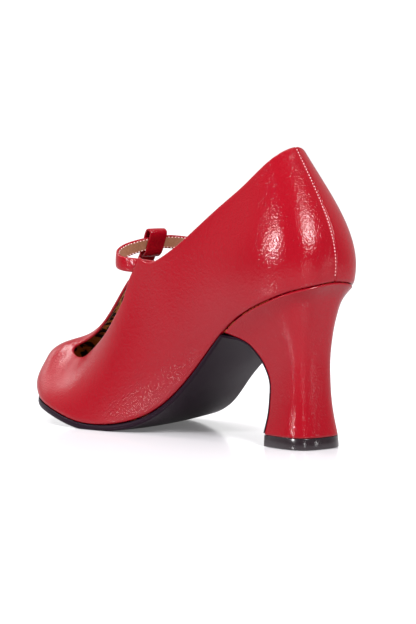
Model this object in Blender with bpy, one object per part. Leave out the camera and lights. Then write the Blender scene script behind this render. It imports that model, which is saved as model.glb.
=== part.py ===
"""Right t strap shoe: lasted upper with T-bar, outsole, insole, covered heel, strap and buckle.

The frame is +X to the outer (little toe) side, +Y to the toe and +Z up, with the floor at z = 0.
The last is given by short tables of sections. A column holds shares of the named sizes below, and
a row is one section, taken from the back seam to the toe.
"""
import bpy
import functools
import math
import numpy as np

# Driving sizes of the last, in metres.
LENGTH = 0.224
BALL_WIDTH = 0.0775
HEEL_HEIGHT = 0.0855
COUNTER_HEIGHT = 0.0665
INSTEP_HEIGHT = 0.0875

# Thicknesses and the gap that neighbours keep.
WALL = 0.0016
SOLE_THICK = 0.0032
WAIST_THICK = 0.0022
FLAP_THICK = 0.0013
INSOLE_THICK = 0.0012
GAP = 0.0003

# Heel and top-lift.
HEEL_WAIST_WIDTH = 0.0256
HEEL_WAIST_LENGTH = 0.0232
HEEL_BACK = 0.0144
HEEL_FLARE = 1.24
LIFT_HEIGHT = 0.0056

# T-bar and its loop, strap and buckle.
BAR_WIDTH = 0.0095
LOOP_WIDTH = 0.0082
LOOP_WALL = 0.0011
LOOP_ROOM = 0.0004
LOOP_SLACK = 0.0028
STRAP_WIDTH = 0.0075
STRAP_THICK = 0.0016
TAB_THICK = 0.0012
KEEPER_THICK = 0.0008
KEEPER_WIDTH = 0.0045
BUCKLE_LENGTH = 0.0120
BUCKLE_WIRE = 0.0017
BUCKLE_CORNER = 0.0022
BUCKLE_SPARE = 0.0012
BUCKLE_PLACE = 0.0255
KEEPER_PLACE = 0.0120
PRONG_WIRE = 0.0014
PRONG_SHARE = 0.55
STRAP_LIFT = 0.0047
INSOLE_MARGIN = 0.0011
INSOLE_ENDS = (0.985, 0.025)

# Sections of the last. Feather line: along, inner, outer, rise_in, rise_out. Side wall: bulge.
# Shoulder line that the topline and cut-outs lie near: edge_along, edge_in, edge_out and its
# height over the feather line as shares of the counter and of the instep. Ridge: foot.
SECTIONS = np.array([
    # along inner outer rise_in rise_out bulge edge_along edge_in edge_out counter instep foot
    (0.011, 0.000, 0.000, 1.000, 1.000, 0.120, 0.145, 0.000, 0.000, 1.030, 0.000, 0.225),
    (0.020, 0.165, 0.165, 0.983, 0.983, 0.115, 0.156, 0.100, 0.100, 1.015, 0.000, 0.228),
    (0.060, 0.280, 0.280, 0.948, 0.948, 0.098, 0.183, 0.180, 0.180, 0.955, 0.000, 0.250),
    (0.120, 0.340, 0.340, 0.885, 0.885, 0.075, 0.237, 0.252, 0.252, 0.855, 0.000, 0.290),
    (0.210, 0.346, 0.352, 0.776, 0.776, 0.055, 0.308, 0.316, 0.316, 0.785, 0.000, 0.360),
    (0.330, 0.302, 0.328, 0.540, 0.552, 0.050, 0.395, 0.358, 0.358, 0.865, 0.000, 0.470),
    (0.440, 0.294, 0.362, 0.277, 0.345, 0.052, 0.478, 0.372, 0.372, 0.600, 0.360, 0.560),
    (0.545, 0.361, 0.447, 0.095, 0.158, 0.040, 0.558, 0.355, 0.355, 0.200, 0.790, 0.638),
    (0.635, 0.452, 0.492, 0.038, 0.080, 0.035, 0.629, 0.329, 0.329, 0.000, 0.790, 0.698),
    (0.720, 0.500, 0.494, 0.042, 0.052, 0.040, 0.712, 0.258, 0.258, 0.000, 0.570, 0.757),
    (0.800, 0.494, 0.458, 0.086, 0.082, 0.045, 0.801, 0.220, 0.220, 0.000, 0.335, 0.817),
    (0.875, 0.437, 0.387, 0.130, 0.124, 0.040, 0.871, 0.219, 0.219, 0.000, 0.264, 0.866),
    (0.930, 0.325, 0.277, 0.153, 0.151, 0.042, 0.924, 0.230, 0.205, 0.000, 0.232, 0.890),
    (0.970, 0.200, 0.160, 0.162, 0.161, 0.038, 0.969, 0.150, 0.125, 0.000, 0.208, 0.900),
    (0.990, 0.105, 0.070, 0.166, 0.165, 0.036, 0.984, 0.077, 0.057, 0.000, 0.200, 0.903),
    (1.000, 0.015, -0.015, 0.168, 0.168, 0.036, 0.988, 0.008, -0.008, 0.000, 0.197, 0.904),
])

# Ridge line on the centre plane: along, and height over the feather line as a share of the instep.
RIDGE = np.array([
    (0.155, 1.110), (0.232, 1.180), (0.357, 1.220), (0.491, 1.210), (0.580, 1.110), (0.634, 1.000),
    (0.699, 0.866), (0.737, 0.756), (0.786, 0.591), (0.821, 0.494), (0.871, 0.392), (0.915, 0.334),
])

# Side-view pattern: along, and height over the feather line as shares of counter and instep.
TOPLINE = np.array([
    (0.120, 1.230, 0.000), (0.1415, 1.182, 0.000), (0.161, 1.146, 0.000), (0.188, 1.092, 0.000),
    (0.223, 1.033, 0.000), (0.268, 1.008, 0.000), (0.335, 1.005, 0.000), (0.402, 0.900, 0.090),
    (0.469, 0.600, 0.352), (0.527, 0.200, 0.724), (0.549, 0.000, 0.926), (0.570, -0.160, 1.090),
])
FRONT_EDGE = np.array([
    (0.520, 1.070), (0.549, 0.926), (0.567, 0.872), (0.585, 0.812), (0.598, 0.732), (0.621, 0.652),
    (0.663, 0.548), (0.723, 0.439), (0.781, 0.341), (0.821, 0.296), (0.857, 0.280), (0.893, 0.280),
])
TAB_CORNER = 0.549

# T-bar: along, half width as a share of BAR_WIDTH.
BAR_EDGE = np.array([(0.600, 0.50), (0.715, 0.50), (0.786, 0.59), (0.840, 0.74), (0.893, 0.92)])
BAR_TOP = 0.722
CUT_END = 0.868
CUT_ROUND = 0.050

# Heel profile: down the heel, how far the seat still spreads it, and its flare to the base.
HEEL_PROFILE = np.array([
    (0.00, 1.00, 0.00), (0.07, 0.60, 0.00), (0.15, 0.37, 0.00), (0.25, 0.20, 0.00), (0.37, 0.07, 0.00),
    (0.50, 0.00, 0.00), (0.62, 0.00, 0.03), (0.75, 0.00, 0.18), (0.87, 0.00, 0.50), (1.00, 0.00, 1.00),
])
BREAST = 0.266
HEEL_COLUMNS = 15
BACK_FLARE = 1.5
FRONT_FLARE = 0.55
HEEL_TURNED = 0.62
HEEL_SQUARE = 2.9
HEEL_TAPER = 0.05
HEEL_LEVELS = (0, 0.03, 0.07, 0.11, 0.16, 0.22, 0.30, 0.40, 0.52, 0.64, 0.76, 0.88, 1.0)
FLAP_LEVELS = (0.05, 0.09, 0.14, 0.20, 0.28, 0.38, 0.50, 0.62, 0.74, 0.86, 0.985)
# Top-lift: its height as a share, and how far it spreads there.
LIFT_ROWS = ((1.0, 1.0), (0.5, 1.012), (0.0, 1.02))

# Bottom of the last: along, how far its middle hangs below its edges.
BELLY = np.array([(0.20, 0), (0.30, 0), (0.45, 0.2), (0.60, 0.8), (0.72, 1.0), (0.85, 0.7), (1.0, 0)])
BELLY_DEPTH = 0.0017

# Strap over the instep, from the inner quarter's edge to the outer one: across as a share of the ball
# width, along as a share of the length from the T-bar's middle, up as a share of the instep, and how
# much of the wall's lean it keeps.
STRAP_ROUTE = np.array([
    (-0.348, -0.0362, -0.1051, 0.9), (-0.334, -0.0071, -0.0926, 0.7), (-0.284, 0.0121, -0.0697, 0.4),
    (-0.213, 0.0183, -0.0446, 0.2), (-0.135, 0.0152, -0.0240, 0.1), (-0.058, 0.0067, -0.0091, 0.0),
    (0.000, 0.0000, 0.0000, 0.0), (0.103, -0.0129, 0.0034, 0.0), (0.215, -0.0330, -0.0103, 0.4),
    (0.330, -0.0600, -0.0331, 0.8),
])
# Its ends along the quarters: along as a share of the length, down as a share of the instep.
STRAP_START = ((0.1161, 0.0069), (0.0760, 0.0046), (0.0340, 0.0023))
STRAP_END = ((0.0424, 0.0411), (0.0804, 0.0663), (0.1205, 0.0800), (0.1607, 0.0869), (0.1964, 0.0891))
STRAP_TIP = ((0, 1), (0.952, 1), (0.972, 0.86), (0.988, 0.60), (1, 0.28))
STRAP_SHEAR = -0.33
LOOP_SHARE = 0.640
LOOP_LEAN = math.radians(22)
LEAN_REACH = 0.24
# The loop's legs below the strap: down the leg and out from its middle, as shares of the loop's reach.
FRONT_LEG = ((1.9, 1.25), (0.4, 1.02))
BACK_LEG = ((0.0, 1.0), (0.7, 0.85), (1.5, 0.40))
FOOT_SHARE = 0.45
CROWN_START = 0.45
CROWN_STEP = 0.09
FOLD_ANGLES = (36, 72, 108, 144)

# Buckle tab: distance from the strap's tip as a share of the buckle's length, and how far it drops to
# the quarter.
TAB_ROUTE = ((-0.25, 0.9), (0.17, 0.75), (0.58, 0.15), (1.08, 0), (1.83, 0), (2.67, 0))
TAB_TIP = ((0, 0.55), (0.04, 0.85), (0.1, 1), (1, 1))
TAB_SHARE = 0.92

# Outsole: where its rows start and end, and its thickness along the shoe.
TOE_START = 0.998
BREAST_STEP = 0.010
SOLE_EASE = 0.7
SOLE_ROWS = ((0.28, FLAP_THICK), (0.45, WAIST_THICK), (0.60, SOLE_THICK), (1.0, SOLE_THICK))


class Curve:
    """The C2 cubic through the knots, natural at its ends or periodic."""

    def __init__(self, knots, values, period=None):
        knots = np.asarray(knots, float)
        values = np.asarray(values, float).reshape(len(knots), -1)
        self.period = period
        if period:
            knots = np.append(knots, knots[0] + period)
            values = np.vstack([values, values[:1]])
        step = np.diff(knots)
        rate = np.diff(values, axis=0) / step[:, None]
        system = np.eye(len(knots))
        right = np.zeros(values.shape)
        for i in range(1, len(knots) - 1):
            system[i, i - 1:i + 2] = step[i - 1], 2 * (step[i - 1] + step[i]), step[i]
            right[i] = 6 * (rate[i] - rate[i - 1])
        if period:
            system[0, -1] = -1
            system[-1] = 0
            system[-1, [0, 1, -2, -1]] = 2 * step[0], step[0], step[-1], 2 * step[-1]
            right[-1] = 6 * (rate[0] - rate[-1])
        self.knots, self.values, self.step = knots, values, step
        self.bend = np.linalg.solve(system, right)

    def __call__(self, at):
        """Value and slope at each place."""
        at = np.atleast_1d(np.asarray(at, float))
        if self.period:
            at = (at - self.knots[0]) % self.period + self.knots[0]
        i = np.clip(np.searchsorted(self.knots, at, side="right") - 1, 0, len(self.step) - 1)
        left = (self.knots[i + 1] - at)[:, None]
        gone = (at - self.knots[i])[:, None]
        h = self.step[i][:, None]
        before, after = self.bend[i], self.bend[i + 1]
        low, high = self.values[i], self.values[i + 1]
        value = (before * left**3 + after * gone**3) / (6 * h)
        value += (low / h - before * h / 6) * left + (high / h - after * h / 6) * gone
        slope = (after * gone**2 - before * left**2) / (2 * h) + (high - low) / h - (after - before) * h / 6
        return value, slope


def solve_rising(function, low, high, steps=44):
    """Where a rising function of one value crosses zero, by halving."""
    low = np.array(low, float)
    high = np.array(high, float)
    for _ in range(steps):
        middle = (low + high) / 2
        above = function(middle) > 0
        high = np.where(above, middle, high)
        low = np.where(above, low, middle)
    return (low + high) / 2


MEAN_RISE = (SECTIONS[:, 3] + SECTIONS[:, 4]) / 2
FEATHER = Curve(SECTIONS[:, 0] * LENGTH, MEAN_RISE * HEEL_HEIGHT)
OVER_FEATHER = Curve(RIDGE[:, 0] * LENGTH, RIDGE[:, 1] * INSTEP_HEIGHT)


def feather_height(y):
    """Height of the feather line, taken between the two sides, at a distance along the shoe."""
    value, slope = FEATHER(y)
    return value[:, 0], slope[:, 0]


def ridge_height(y):
    """Height and slope of the ridge line on the centre plane."""
    up, climb = OVER_FEATHER(y)
    base, slope = feather_height(y)
    return base + up[:, 0], slope + climb[:, 0]


def section_rows():
    """Knots round the shoe (0 back, 1 toe, 2 back again) and the values held at them."""
    along, inner, outer, rise_in, rise_out, bulge = SECTIONS[:, :6].T
    edge_along, edge_in, edge_out, counter, instep, foot = SECTIONS[:, 6:].T
    y = along * LENGTH
    base = (rise_in + rise_out) / 2 * HEEL_HEIGHT
    edge_z = base + counter * COUNTER_HEIGHT + instep * INSTEP_HEIGHT
    tail = [edge_along * LENGTH, edge_z, bulge * BALL_WIDTH, foot * LENGTH]
    medial = np.column_stack([-inner * BALL_WIDTH, y, rise_in * HEEL_HEIGHT, -edge_in * BALL_WIDTH] + tail)
    lateral = np.column_stack([outer * BALL_WIDTH, y, rise_out * HEEL_HEIGHT, edge_out * BALL_WIDTH] + tail)
    chord = [np.linalg.norm(np.diff(side[:, :3], axis=0), axis=1) for side in (medial, lateral)]
    knots = np.append(0, np.cumsum(sum(chord)))
    knots /= knots[-1]
    return np.append(knots, 2 - knots[-2:0:-1]), np.vstack([medial, lateral[-2:0:-1]])


ROUND = Curve(*section_rows(), period=2.0)


def last_point(u, h):
    """A point of the last: u goes round it, h up it (0 feather, 1 shoulder, 2 ridge)."""
    u, h = np.broadcast_arrays(np.atleast_1d(np.asarray(u, float)), np.asarray(h, float))
    row, turn = ROUND(u)
    low = row[:, :3]
    shoulder = np.column_stack([row[:, 3], row[:, 4], row[:, 5]])
    ridge_z, ridge_slope = ridge_height(row[:, 7])
    top = np.column_stack([0 * row[:, 7], row[:, 7], ridge_z])
    out = np.column_stack([-turn[:, 1], turn[:, 0], 0 * row[:, 0]])
    out /= np.linalg.norm(out, axis=1)[:, None]
    swell = row[:, 6][:, None] * out
    t = np.minimum(h, 1)[:, None]
    wall = low + (shoulder - low) * t + t * (1 - t) * (5.4 - 3.4 * t) * swell
    s = np.clip(h - 1, 0, 1)[:, None]
    reach = np.linalg.norm(top - shoulder, axis=1) / np.linalg.norm(shoulder - low, axis=1)
    leave = (shoulder - low - 2 * swell) * reach[:, None]
    arrive = top - shoulder
    arrive[:, 2] = ridge_slope * arrive[:, 1]
    crown = (1 + 2 * s) * (1 - s)**2 * shoulder + s * (1 - s)**2 * leave
    crown += s**2 * (3 - 2 * s) * top - s**2 * (1 - s) * arrive
    return np.where(t < 1, wall, crown)


def last_normal(u, h):
    """Outward normal of the last by small steps in both directions."""
    du = 0.002
    dh = 0.01
    h = np.asarray(h, float)
    round_it = last_point(u + du, h) - last_point(u - du, h)
    up_it = last_point(u, np.minimum(h + dh, 2)) - last_point(u, np.maximum(h - dh, 0))
    normal = np.cross(up_it, round_it)
    return normal / np.maximum(np.linalg.norm(normal, axis=1), 1e-12)[:, None]


TOP_CURVE = Curve(TOPLINE[:, 0] * LENGTH, TOPLINE[:, 1] * COUNTER_HEIGHT + TOPLINE[:, 2] * INSTEP_HEIGHT)
FRONT_CURVE = Curve(FRONT_EDGE[:, 0] * LENGTH, FRONT_EDGE[:, 1] * INSTEP_HEIGHT)
BAR_CURVE = Curve(BAR_EDGE[:, 0] * LENGTH, BAR_EDGE[:, 1] * BAR_WIDTH)


def line_level(line, u, highest):
    """How far up the last a line of the side-view pattern lies, at each place round it."""
    def over(h):
        point = last_point(u, h)
        y = point[:, 1]
        return point[:, 2] - line(y)[0][:, 0] - feather_height(y)[0]
    return solve_rising(over, np.full(len(u), 0.3), np.full(len(u), highest))


def bar_level(u):
    """How far up the last the side edge of the T-bar lies."""
    def inside(h):
        point = last_point(u, h)
        return BAR_CURVE(point[:, 1])[0][:, 0] - np.abs(point[:, 0])
    return solve_rising(inside, np.full(len(u), 0.5), np.full(len(u), 2.0))


def place_at(column, share):
    """Where round the inner side a column of the rows reaches a share of the length."""
    def over(u):
        return ROUND(u)[0][:, column] - share * LENGTH
    return solve_rising(over, [0.0], [1.0])[0]


def tab_place():
    """Where round the inner side the topline reaches the tab's corner."""
    def over(u):
        return last_point(u, line_level(TOP_CURVE, u, 1.05))[:, 1] - TAB_CORNER * LENGTH
    return solve_rising(over, [0.2], [0.8])[0]


def closed_shell(outer, inner, faces):
    """Points and faces of a solid between two like sheets, closed along every free edge."""
    count = len(outer)
    free = {}
    for face in faces:
        for a, b in zip(face, face[1:] + face[:1]):
            if (b, a) in free:
                del free[(b, a)]
            else:
                free[(a, b)] = True
    solid = list(faces)
    solid += [tuple(i + count for i in reversed(face)) for face in faces]
    solid += [(b, a, a + count, b + count) for a, b in free]
    return np.vstack([outer, inner]), solid


def grid_faces(rows, columns):
    """Quads of a sheet of rows by columns points."""
    faces = []
    for i in range(rows - 1):
        for j in range(columns - 1):
            a = i * columns + j
            faces.append((a, a + 1, a + columns + 1, a + columns))
    return faces


def spread(low, high, count, ease=0.0):
    """Evenly spaced values, drawn towards both ends by ease."""
    t = np.linspace(0, 1, count)
    t = t + ease * (0.5 - 0.5 * np.cos(math.pi * t) - t)
    return low + (high - low) * t


# Upper: one wall with the quarters, vamp, T-bar and the loop at the T-bar's top. The lining is left
# to its inner face.
def upper():
    tab = tab_place()
    cut_end = place_at(7, CUT_END)
    bar_top = place_at(7, BAR_TOP)
    sides = [spread(0, tab, 17, 0.3), spread(tab, bar_top, 5)[1:], spread(bar_top, cut_end, 15, 0.8)[1:],
             spread(cut_end, 1, 12)[1:]]
    inner_u = np.concatenate(sides)
    u = np.concatenate([inner_u, 2 - inner_u[-2:0:-1]])
    count = len(u)
    near = np.minimum(u, 2 - u)
    mirrored = np.where(u > 1, 1, 0)

    edge = np.where(near <= tab + 1e-9, line_level(TOP_CURVE, u, 1.05), line_level(FRONT_CURVE, u, 2.0))
    bar = bar_level(u)
    middle = (edge + bar) / 2
    rounding = CUT_ROUND * cut_end
    share = np.clip((near - (cut_end - rounding)) / rounding, 0, 1)
    gap = (bar - edge) / 2 * np.sqrt(1 - share**2)
    past = np.clip((near - cut_end) / (1 - cut_end), 0, 1)
    low_edge = middle - gap
    high_edge = middle + gap
    level_end = np.interp(cut_end, inner_u, middle[:len(inner_u)])
    vamp = near >= cut_end - 1e-9
    low_edge[vamp] = high_edge[vamp] = level_end + (1.1 - level_end) * past[vamp]

    wall_rows = 9
    crown_rows = 5
    points = []
    normals = []
    index = {}

    def keep(name, point, normal):
        index[name] = len(points)
        points.append(point)
        normals.append(normal)

    for j in range(wall_rows + 1):
        level = low_edge * j / wall_rows
        place = last_point(u, level)
        facing = last_normal(u, level)
        for i in range(count):
            keep(("wall", j, i), place[i], facing[i])
    crowned = [i for i in range(count) if near[i] >= bar_top - 1e-9]
    for k in range(crown_rows + 1):
        level = high_edge + (2 - high_edge) * k / crown_rows
        place = last_point(u, level)
        facing = last_normal(u, level)
        for i in crowned:
            if k == 0 and vamp[i]:
                index["crown", k, i] = index["wall", wall_rows, i]
            elif k == crown_rows and mirrored[i]:
                index["crown", k, i] = index["crown", k, count - i]
            elif k == crown_rows:
                slope = ridge_height(place[i, 1])[1][0]
                keep(("crown", k, i), place[i], np.array([0, -slope, 1]) / math.hypot(1, slope))
            else:
                keep(("crown", k, i), place[i], facing[i])

    faces = []
    for j in range(wall_rows):
        for i in range(count):
            n = (i + 1) % count
            faces.append(tuple(index["wall", *c] for c in ((j, n), (j, i), (j + 1, i), (j + 1, n))))
    for k in range(crown_rows):
        for i in crowned[:-1]:
            corners = [index["crown", *c] for c in ((k, i + 1), (k, i), (k + 1, i), (k + 1, i + 1))]
            corners = tuple(dict.fromkeys(corners))
            if len(corners) > 2:
                faces.append(corners)

    first = crowned[0]
    across = [index["crown", k, first] for k in range(crown_rows + 1)]
    across += [index["crown", k, count - first] for k in range(crown_rows - 1, -1, -1)]
    path, turn = loop_path()
    for row in range(len(path)):
        y, z, shear, crown, width, wall = path[row]
        ny, nz = turn[row]
        new = []
        for place in np.linspace(-1, 1, len(across)):
            x = place * width / 2
            sink = crown * place**2
            point = np.array([x, y + shear * x - sink * ny, z - sink * nz])
            new.append(len(points))
            points.append(point)
            normals.append(np.array([0, ny, nz]) * wall / WALL)
        for a in range(len(across) - 1):
            faces.append((across[a + 1], across[a], new[a], new[a + 1]))
        across = new

    outer = np.array(points)
    inward = np.array(normals)
    seat = [index["wall", 0, i] for i in range(count)]
    inward[seat, 2] = 0
    inward[seat] /= np.linalg.norm(inward[seat], axis=1)[:, None]
    return closed_shell(outer, outer - WALL * inward, faces)


def strap_centre():
    """Where the strap's middle crosses the T-bar: along the shoe and up."""
    y = LOOP_SHARE * LENGTH
    return y, feather_height(y)[0][0] + INSTEP_HEIGHT + STRAP_LIFT


def loop_place(up, out):
    """A point in the loop's side view: up along its leaning middle and out to the front of it."""
    y, z = strap_centre()
    cos, sin = math.cos(LOOP_LEAN), math.sin(LOOP_LEAN)
    return y + out * cos - up * sin, z + out * sin + up * cos


def loop_path():
    """Side view of the T-bar's top: up in front of the strap, over it and down behind it."""
    reach = STRAP_THICK / 2 + GAP + LOOP_ROOM + LOOP_WALL
    low = -STRAP_WIDTH / 2
    top = STRAP_WIDTH / 2 + GAP + LOOP_SLACK - reach / 2
    start = BAR_TOP * LENGTH - FOOT_SHARE * BAR_WIDTH
    points = [(start, ridge_height(start)[0][0])]
    points += [loop_place(low - down * reach, out * reach) for down, out in FRONT_LEG]
    points += [loop_place(0, reach), loop_place(top, reach)]
    for angle in np.radians(FOLD_ANGLES):
        points.append(loop_place(top + reach * math.sin(angle), reach * math.cos(angle)))
    points += [loop_place(top, -reach), loop_place(0, -reach)]
    points += [loop_place(low - down * reach, -out * reach) for down, out in BACK_LEG]
    path = np.array(points)
    tangent = np.gradient(path, axis=0)
    tangent /= np.linalg.norm(tangent, axis=1)[:, None]
    turn = np.column_stack([tangent[:, 1], -tangent[:, 0]])
    straight = 1 + len(FRONT_LEG)
    rise = np.clip((path[:, 1] - path[0, 1]) / (path[straight - 1, 1] - path[0, 1]), 0, 1)
    rise[straight:] = 1
    crown = WALL * np.clip(CROWN_START - CROWN_STEP * np.arange(len(path)), 1 / 16, 1)
    width = BAR_WIDTH + (LOOP_WIDTH - BAR_WIDTH) * rise
    wall = WALL + (LOOP_WALL - WALL) * rise
    return np.column_stack([path, STRAP_SHEAR * rise, crown, width, wall]), turn


def wall_at(side, y, z):
    """A point of the last's side wall at a place along it and up, and its outward normal."""
    def level(u):
        def over(h):
            return last_point(u, h)[:, 2] - z
        return solve_rising(over, np.zeros(len(u)), np.full(len(u), 1.999))

    def over(u):
        return last_point(u, level(u))[:, 1] - y

    inner = solve_rising(over, [0.02], [0.95])
    place = inner if side < 0 else 2 - inner
    height = level(place)
    return last_point(place, height)[0], last_normal(place, height)[0]


@functools.lru_cache
def strap_route():
    """The strap's middle line, from inside the inner quarter to its tip on the outer one, and lean."""
    loop_y, loop_z = strap_centre()
    scale = (BALL_WIDTH, LENGTH, INSTEP_HEIGHT)
    middle = STRAP_ROUTE[:, :3] * scale + (0, loop_y, loop_z)
    inside = -(WALL + GAP + STRAP_THICK / 2 + GAP)
    route = []
    lean = []

    def along_wall(side, rows, first, offset):
        for on, drop in rows:
            point, normal = wall_at(side, first[1] - on * LENGTH, first[2] - drop * INSTEP_HEIGHT)
            route.append(point + normal * offset)
            lean.append(math.asin(normal[2]))

    along_wall(-1, STRAP_START, middle[0], inside)
    inner_lean = lean[-1]
    route.extend(middle)
    lean.extend([0.0] * len(middle))
    along_wall(1, STRAP_END, middle[-1], outer_stack())
    outer_lean = lean[len(STRAP_START) + len(middle)]
    near = np.where(STRAP_ROUTE[:, 0] < 0, inner_lean, outer_lean)
    lean_here = LOOP_LEAN * np.clip(1 - (STRAP_ROUTE[:, 0] / LEAN_REACH)**2, 0, 1)
    lean[len(STRAP_START):-len(STRAP_END)] = STRAP_ROUTE[:, 3] * near + lean_here
    return np.array(route), np.array(lean)


def outer_stack():
    """From the outer quarter's wall to the strap's middle, over the keeper's leg and the tab."""
    return GAP + KEEPER_THICK + GAP + TAB_THICK + GAP + STRAP_THICK / 2


def run_length(route):
    """Distance along a route to each of its points."""
    return np.append(0, np.cumsum(np.linalg.norm(np.diff(route, axis=0), axis=1)))


def band_frames(route, lean, at):
    """Middle, along, across and face directions of a band standing on edge, at distances along it."""
    along = run_length(route)
    middle, tangent = Curve(along, route)(at)
    tangent /= np.linalg.norm(tangent, axis=1)[:, None]
    turn = np.interp(at, along, lean)[:, None]
    level = np.cross(tangent, (0, 0, 1))
    level /= np.linalg.norm(level, axis=1)[:, None]
    across = np.cross(level, tangent) * np.cos(turn) + level * np.sin(turn)
    return middle, tangent, across, np.cross(tangent, across)


def band(route, lean, samples, width, thick, shape):
    """A flat band along a smooth route, with its width scaled by shape along it."""
    at = np.linspace(0, run_length(route)[-1], samples)
    middle, _, up, face = band_frames(route, lean, at)
    scale = np.interp(at / at[-1], *zip(*shape))
    across = np.linspace(-0.5, 0.5, 4)
    outer = middle[:, None] + (width * scale)[:, None, None] * across[None, :, None] * up[:, None]
    outer = outer - face[:, None] * thick / 2
    inner = outer + face[:, None] * thick
    return closed_shell(outer.reshape(-1, 3), inner.reshape(-1, 3), grid_faces(samples, len(across)))


def strap():
    route, lean = strap_route()
    return band(route, lean, 84, STRAP_WIDTH, STRAP_THICK, STRAP_TIP)


# Sole: rows run from the toe to the breast line and then down the heel's breast as a thin flap.
def feather_pair(u):
    """Inner and outer point of the feather line at the same place along the shoe."""
    return last_point([u], [0.0])[0], last_point([2 - u], [0.0])[0]


def belly(y):
    """How far the last's bottom hangs below its edges in the middle."""
    share, _ = Curve(BELLY[:, 0] * LENGTH, BELLY[:, 1] * BELLY_DEPTH)(y)
    return np.clip(share[:, 0], 0, None)


def heel_outline(grow, count):
    """Inner half of a heel section, back centre to front corner: round behind, straight before."""
    half = HEEL_WAIST_WIDTH / 2 * grow
    centre = HEEL_BACK + HEEL_WAIST_LENGTH * 0.5
    back = centre - HEEL_WAIST_LENGTH * 0.5 * (1 + (grow - 1) * BACK_FLARE)
    front = centre + HEEL_WAIST_LENGTH * 0.5 * (1 + (grow - 1) * FRONT_FLARE)
    turned = int(count * HEEL_TURNED)
    angle = np.linspace(0, math.pi / 2, turned)
    square = 2 / HEEL_SQUARE
    x = half * np.sin(angle)**square
    y = centre - (centre - back) * np.cos(angle)**square
    rest = np.linspace(0, 1, count - turned + 1)[1:]
    x = np.append(x, half * (1 - HEEL_TAPER * rest**2))
    y = np.append(y, centre + (front - centre) * rest)
    return np.column_stack([-x, y])


def heel_rings(levels):
    """Inner half of the heel at levels from the seat (0) to the top-lift (1)."""
    seat_u = spread(0, place_at(1, BREAST), HEEL_COLUMNS)
    seat = last_point(seat_u, 0.0)
    seat[:, 2] -= GAP
    profile, _ = Curve(HEEL_PROFILE[:, 0], HEEL_PROFILE[:, 1:])(levels)
    waist = heel_outline(1.0, HEEL_COLUMNS)
    foot = LIFT_HEIGHT + GAP
    rings = []
    for level, (hold, flare) in zip(levels, profile):
        section = heel_outline(1 + (HEEL_FLARE - 1) * flare, HEEL_COLUMNS)
        plan = section + (seat[:, :2] - waist) * hold
        z = seat[:, 2] + (foot - seat[:, 2]) * level
        rings.append(np.column_stack([plan, z]))
    return np.array(rings)


def paired_solid(rings):
    """A solid from half rings and their mirror images, with caps and a front face."""
    count = rings.shape[1]
    points = []
    for ring in rings:
        points += list(ring) + list(ring[:0:-1] * (-1, 1, 1))
    size = 2 * count - 1
    faces = []
    for r in range(len(rings) - 1):
        for k in range(size):
            n = (k + 1) % size
            faces.append((r * size + k, r * size + n, (r + 1) * size + n, (r + 1) * size + k))
    for base, flip in ((0, False), ((len(rings) - 1) * size, True)):
        cap = [(base + 1, base, base + size - 1)]
        for k in range(1, count - 1):
            cap.append((base + k + 1, base + k, base + size - k, base + size - k - 1))
        faces += [tuple(reversed(face)) if flip else face for face in cap]
    return np.array(points), faces


def heel():
    return paired_solid(heel_rings(np.array(HEEL_LEVELS)))


def top_lift():
    rings = []
    for up, grow in LIFT_ROWS:
        outline = heel_outline(HEEL_FLARE * grow, HEEL_COLUMNS)
        rings.append(np.column_stack([outline, np.full(HEEL_COLUMNS, up * LIFT_HEIGHT)]))
    return paired_solid(np.array(rings))


def outsole():
    toe_to_breast = spread(TOE_START, place_at(1, BREAST + BREAST_STEP), 38, SOLE_EASE)
    pairs = []
    for u in toe_to_breast:
        left, right = feather_pair(u)
        pairs.append((left, right, belly([left[1]])[0]))
    for ring in heel_rings(np.array(FLAP_LEVELS)):
        left = ring[-1].copy()
        pairs.append((left, left * (-1, 1, 1), 0.0))
    left = np.array([pair[0] for pair in pairs])
    right = np.array([pair[1] for pair in pairs])
    centre = (left + right) / 2
    tangent = np.gradient(centre[:, 1:], axis=0)
    tangent /= np.linalg.norm(tangent, axis=1)[:, None]
    down = np.column_stack([0 * tangent[:, 0], -tangent[:, 1], tangent[:, 0]])
    down[0] = (0, 0, -1)
    breast = len(toe_to_breast)
    y = centre[:breast, 1] / LENGTH
    thick = np.interp(y, *zip(*SOLE_ROWS))
    thick = np.append(thick, np.full(len(pairs) - breast, FLAP_THICK))
    places = np.linspace(0, 1, 9)
    top = []
    bottom = []
    for i in range(len(pairs)):
        for place in places:
            point = left[i] + (right[i] - left[i]) * place
            point = point + down[i] * GAP
            point[2] -= pairs[i][2] * 4 * place * (1 - place)
            under = point + down[i] * thick[i]
            under[2] = max(under[2], 0)
            top.append(point)
            bottom.append(under)
    faces = grid_faces(len(pairs), len(places))
    return closed_shell(np.array(bottom), np.array(top), faces)


def insole():
    margin = WALL + INSOLE_MARGIN
    places = np.linspace(0, 1, 7)
    top = []
    rows = spread(*INSOLE_ENDS, 30, 0.5)
    for u in rows:
        ends = []
        for place in (u, 2 - u):
            point = last_point([place], [0.0])[0]
            out = last_normal(np.array([place]), np.array([0.0]))[0]
            out[2] = 0
            ends.append(point - out / np.linalg.norm(out) * margin)
        hang = belly([ends[0][1]])[0]
        for place in places:
            point = ends[0] + (ends[1] - ends[0]) * place
            point[2] += INSOLE_THICK - hang * 4 * place * (1 - place)
            top.append(point)
    top = np.array(top)
    bottom = top - (0, 0, INSOLE_THICK)
    faces = [tuple(reversed(face)) for face in grid_faces(len(rows), len(places))]
    return closed_shell(top, bottom, faces)


# Buckle side, on the outer quarter: tab under the strap, frame, prong and keeper.
def on_strap(distance, outward):
    """A place over the outer leg of the strap, and the along, outward and up directions there."""
    route, lean = strap_route()
    at = np.array([run_length(route)[-1] - distance])
    middle, tangent, up, face = (value[0] for value in band_frames(route, lean, at))
    return middle - face * outward, tangent, -face, up


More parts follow.
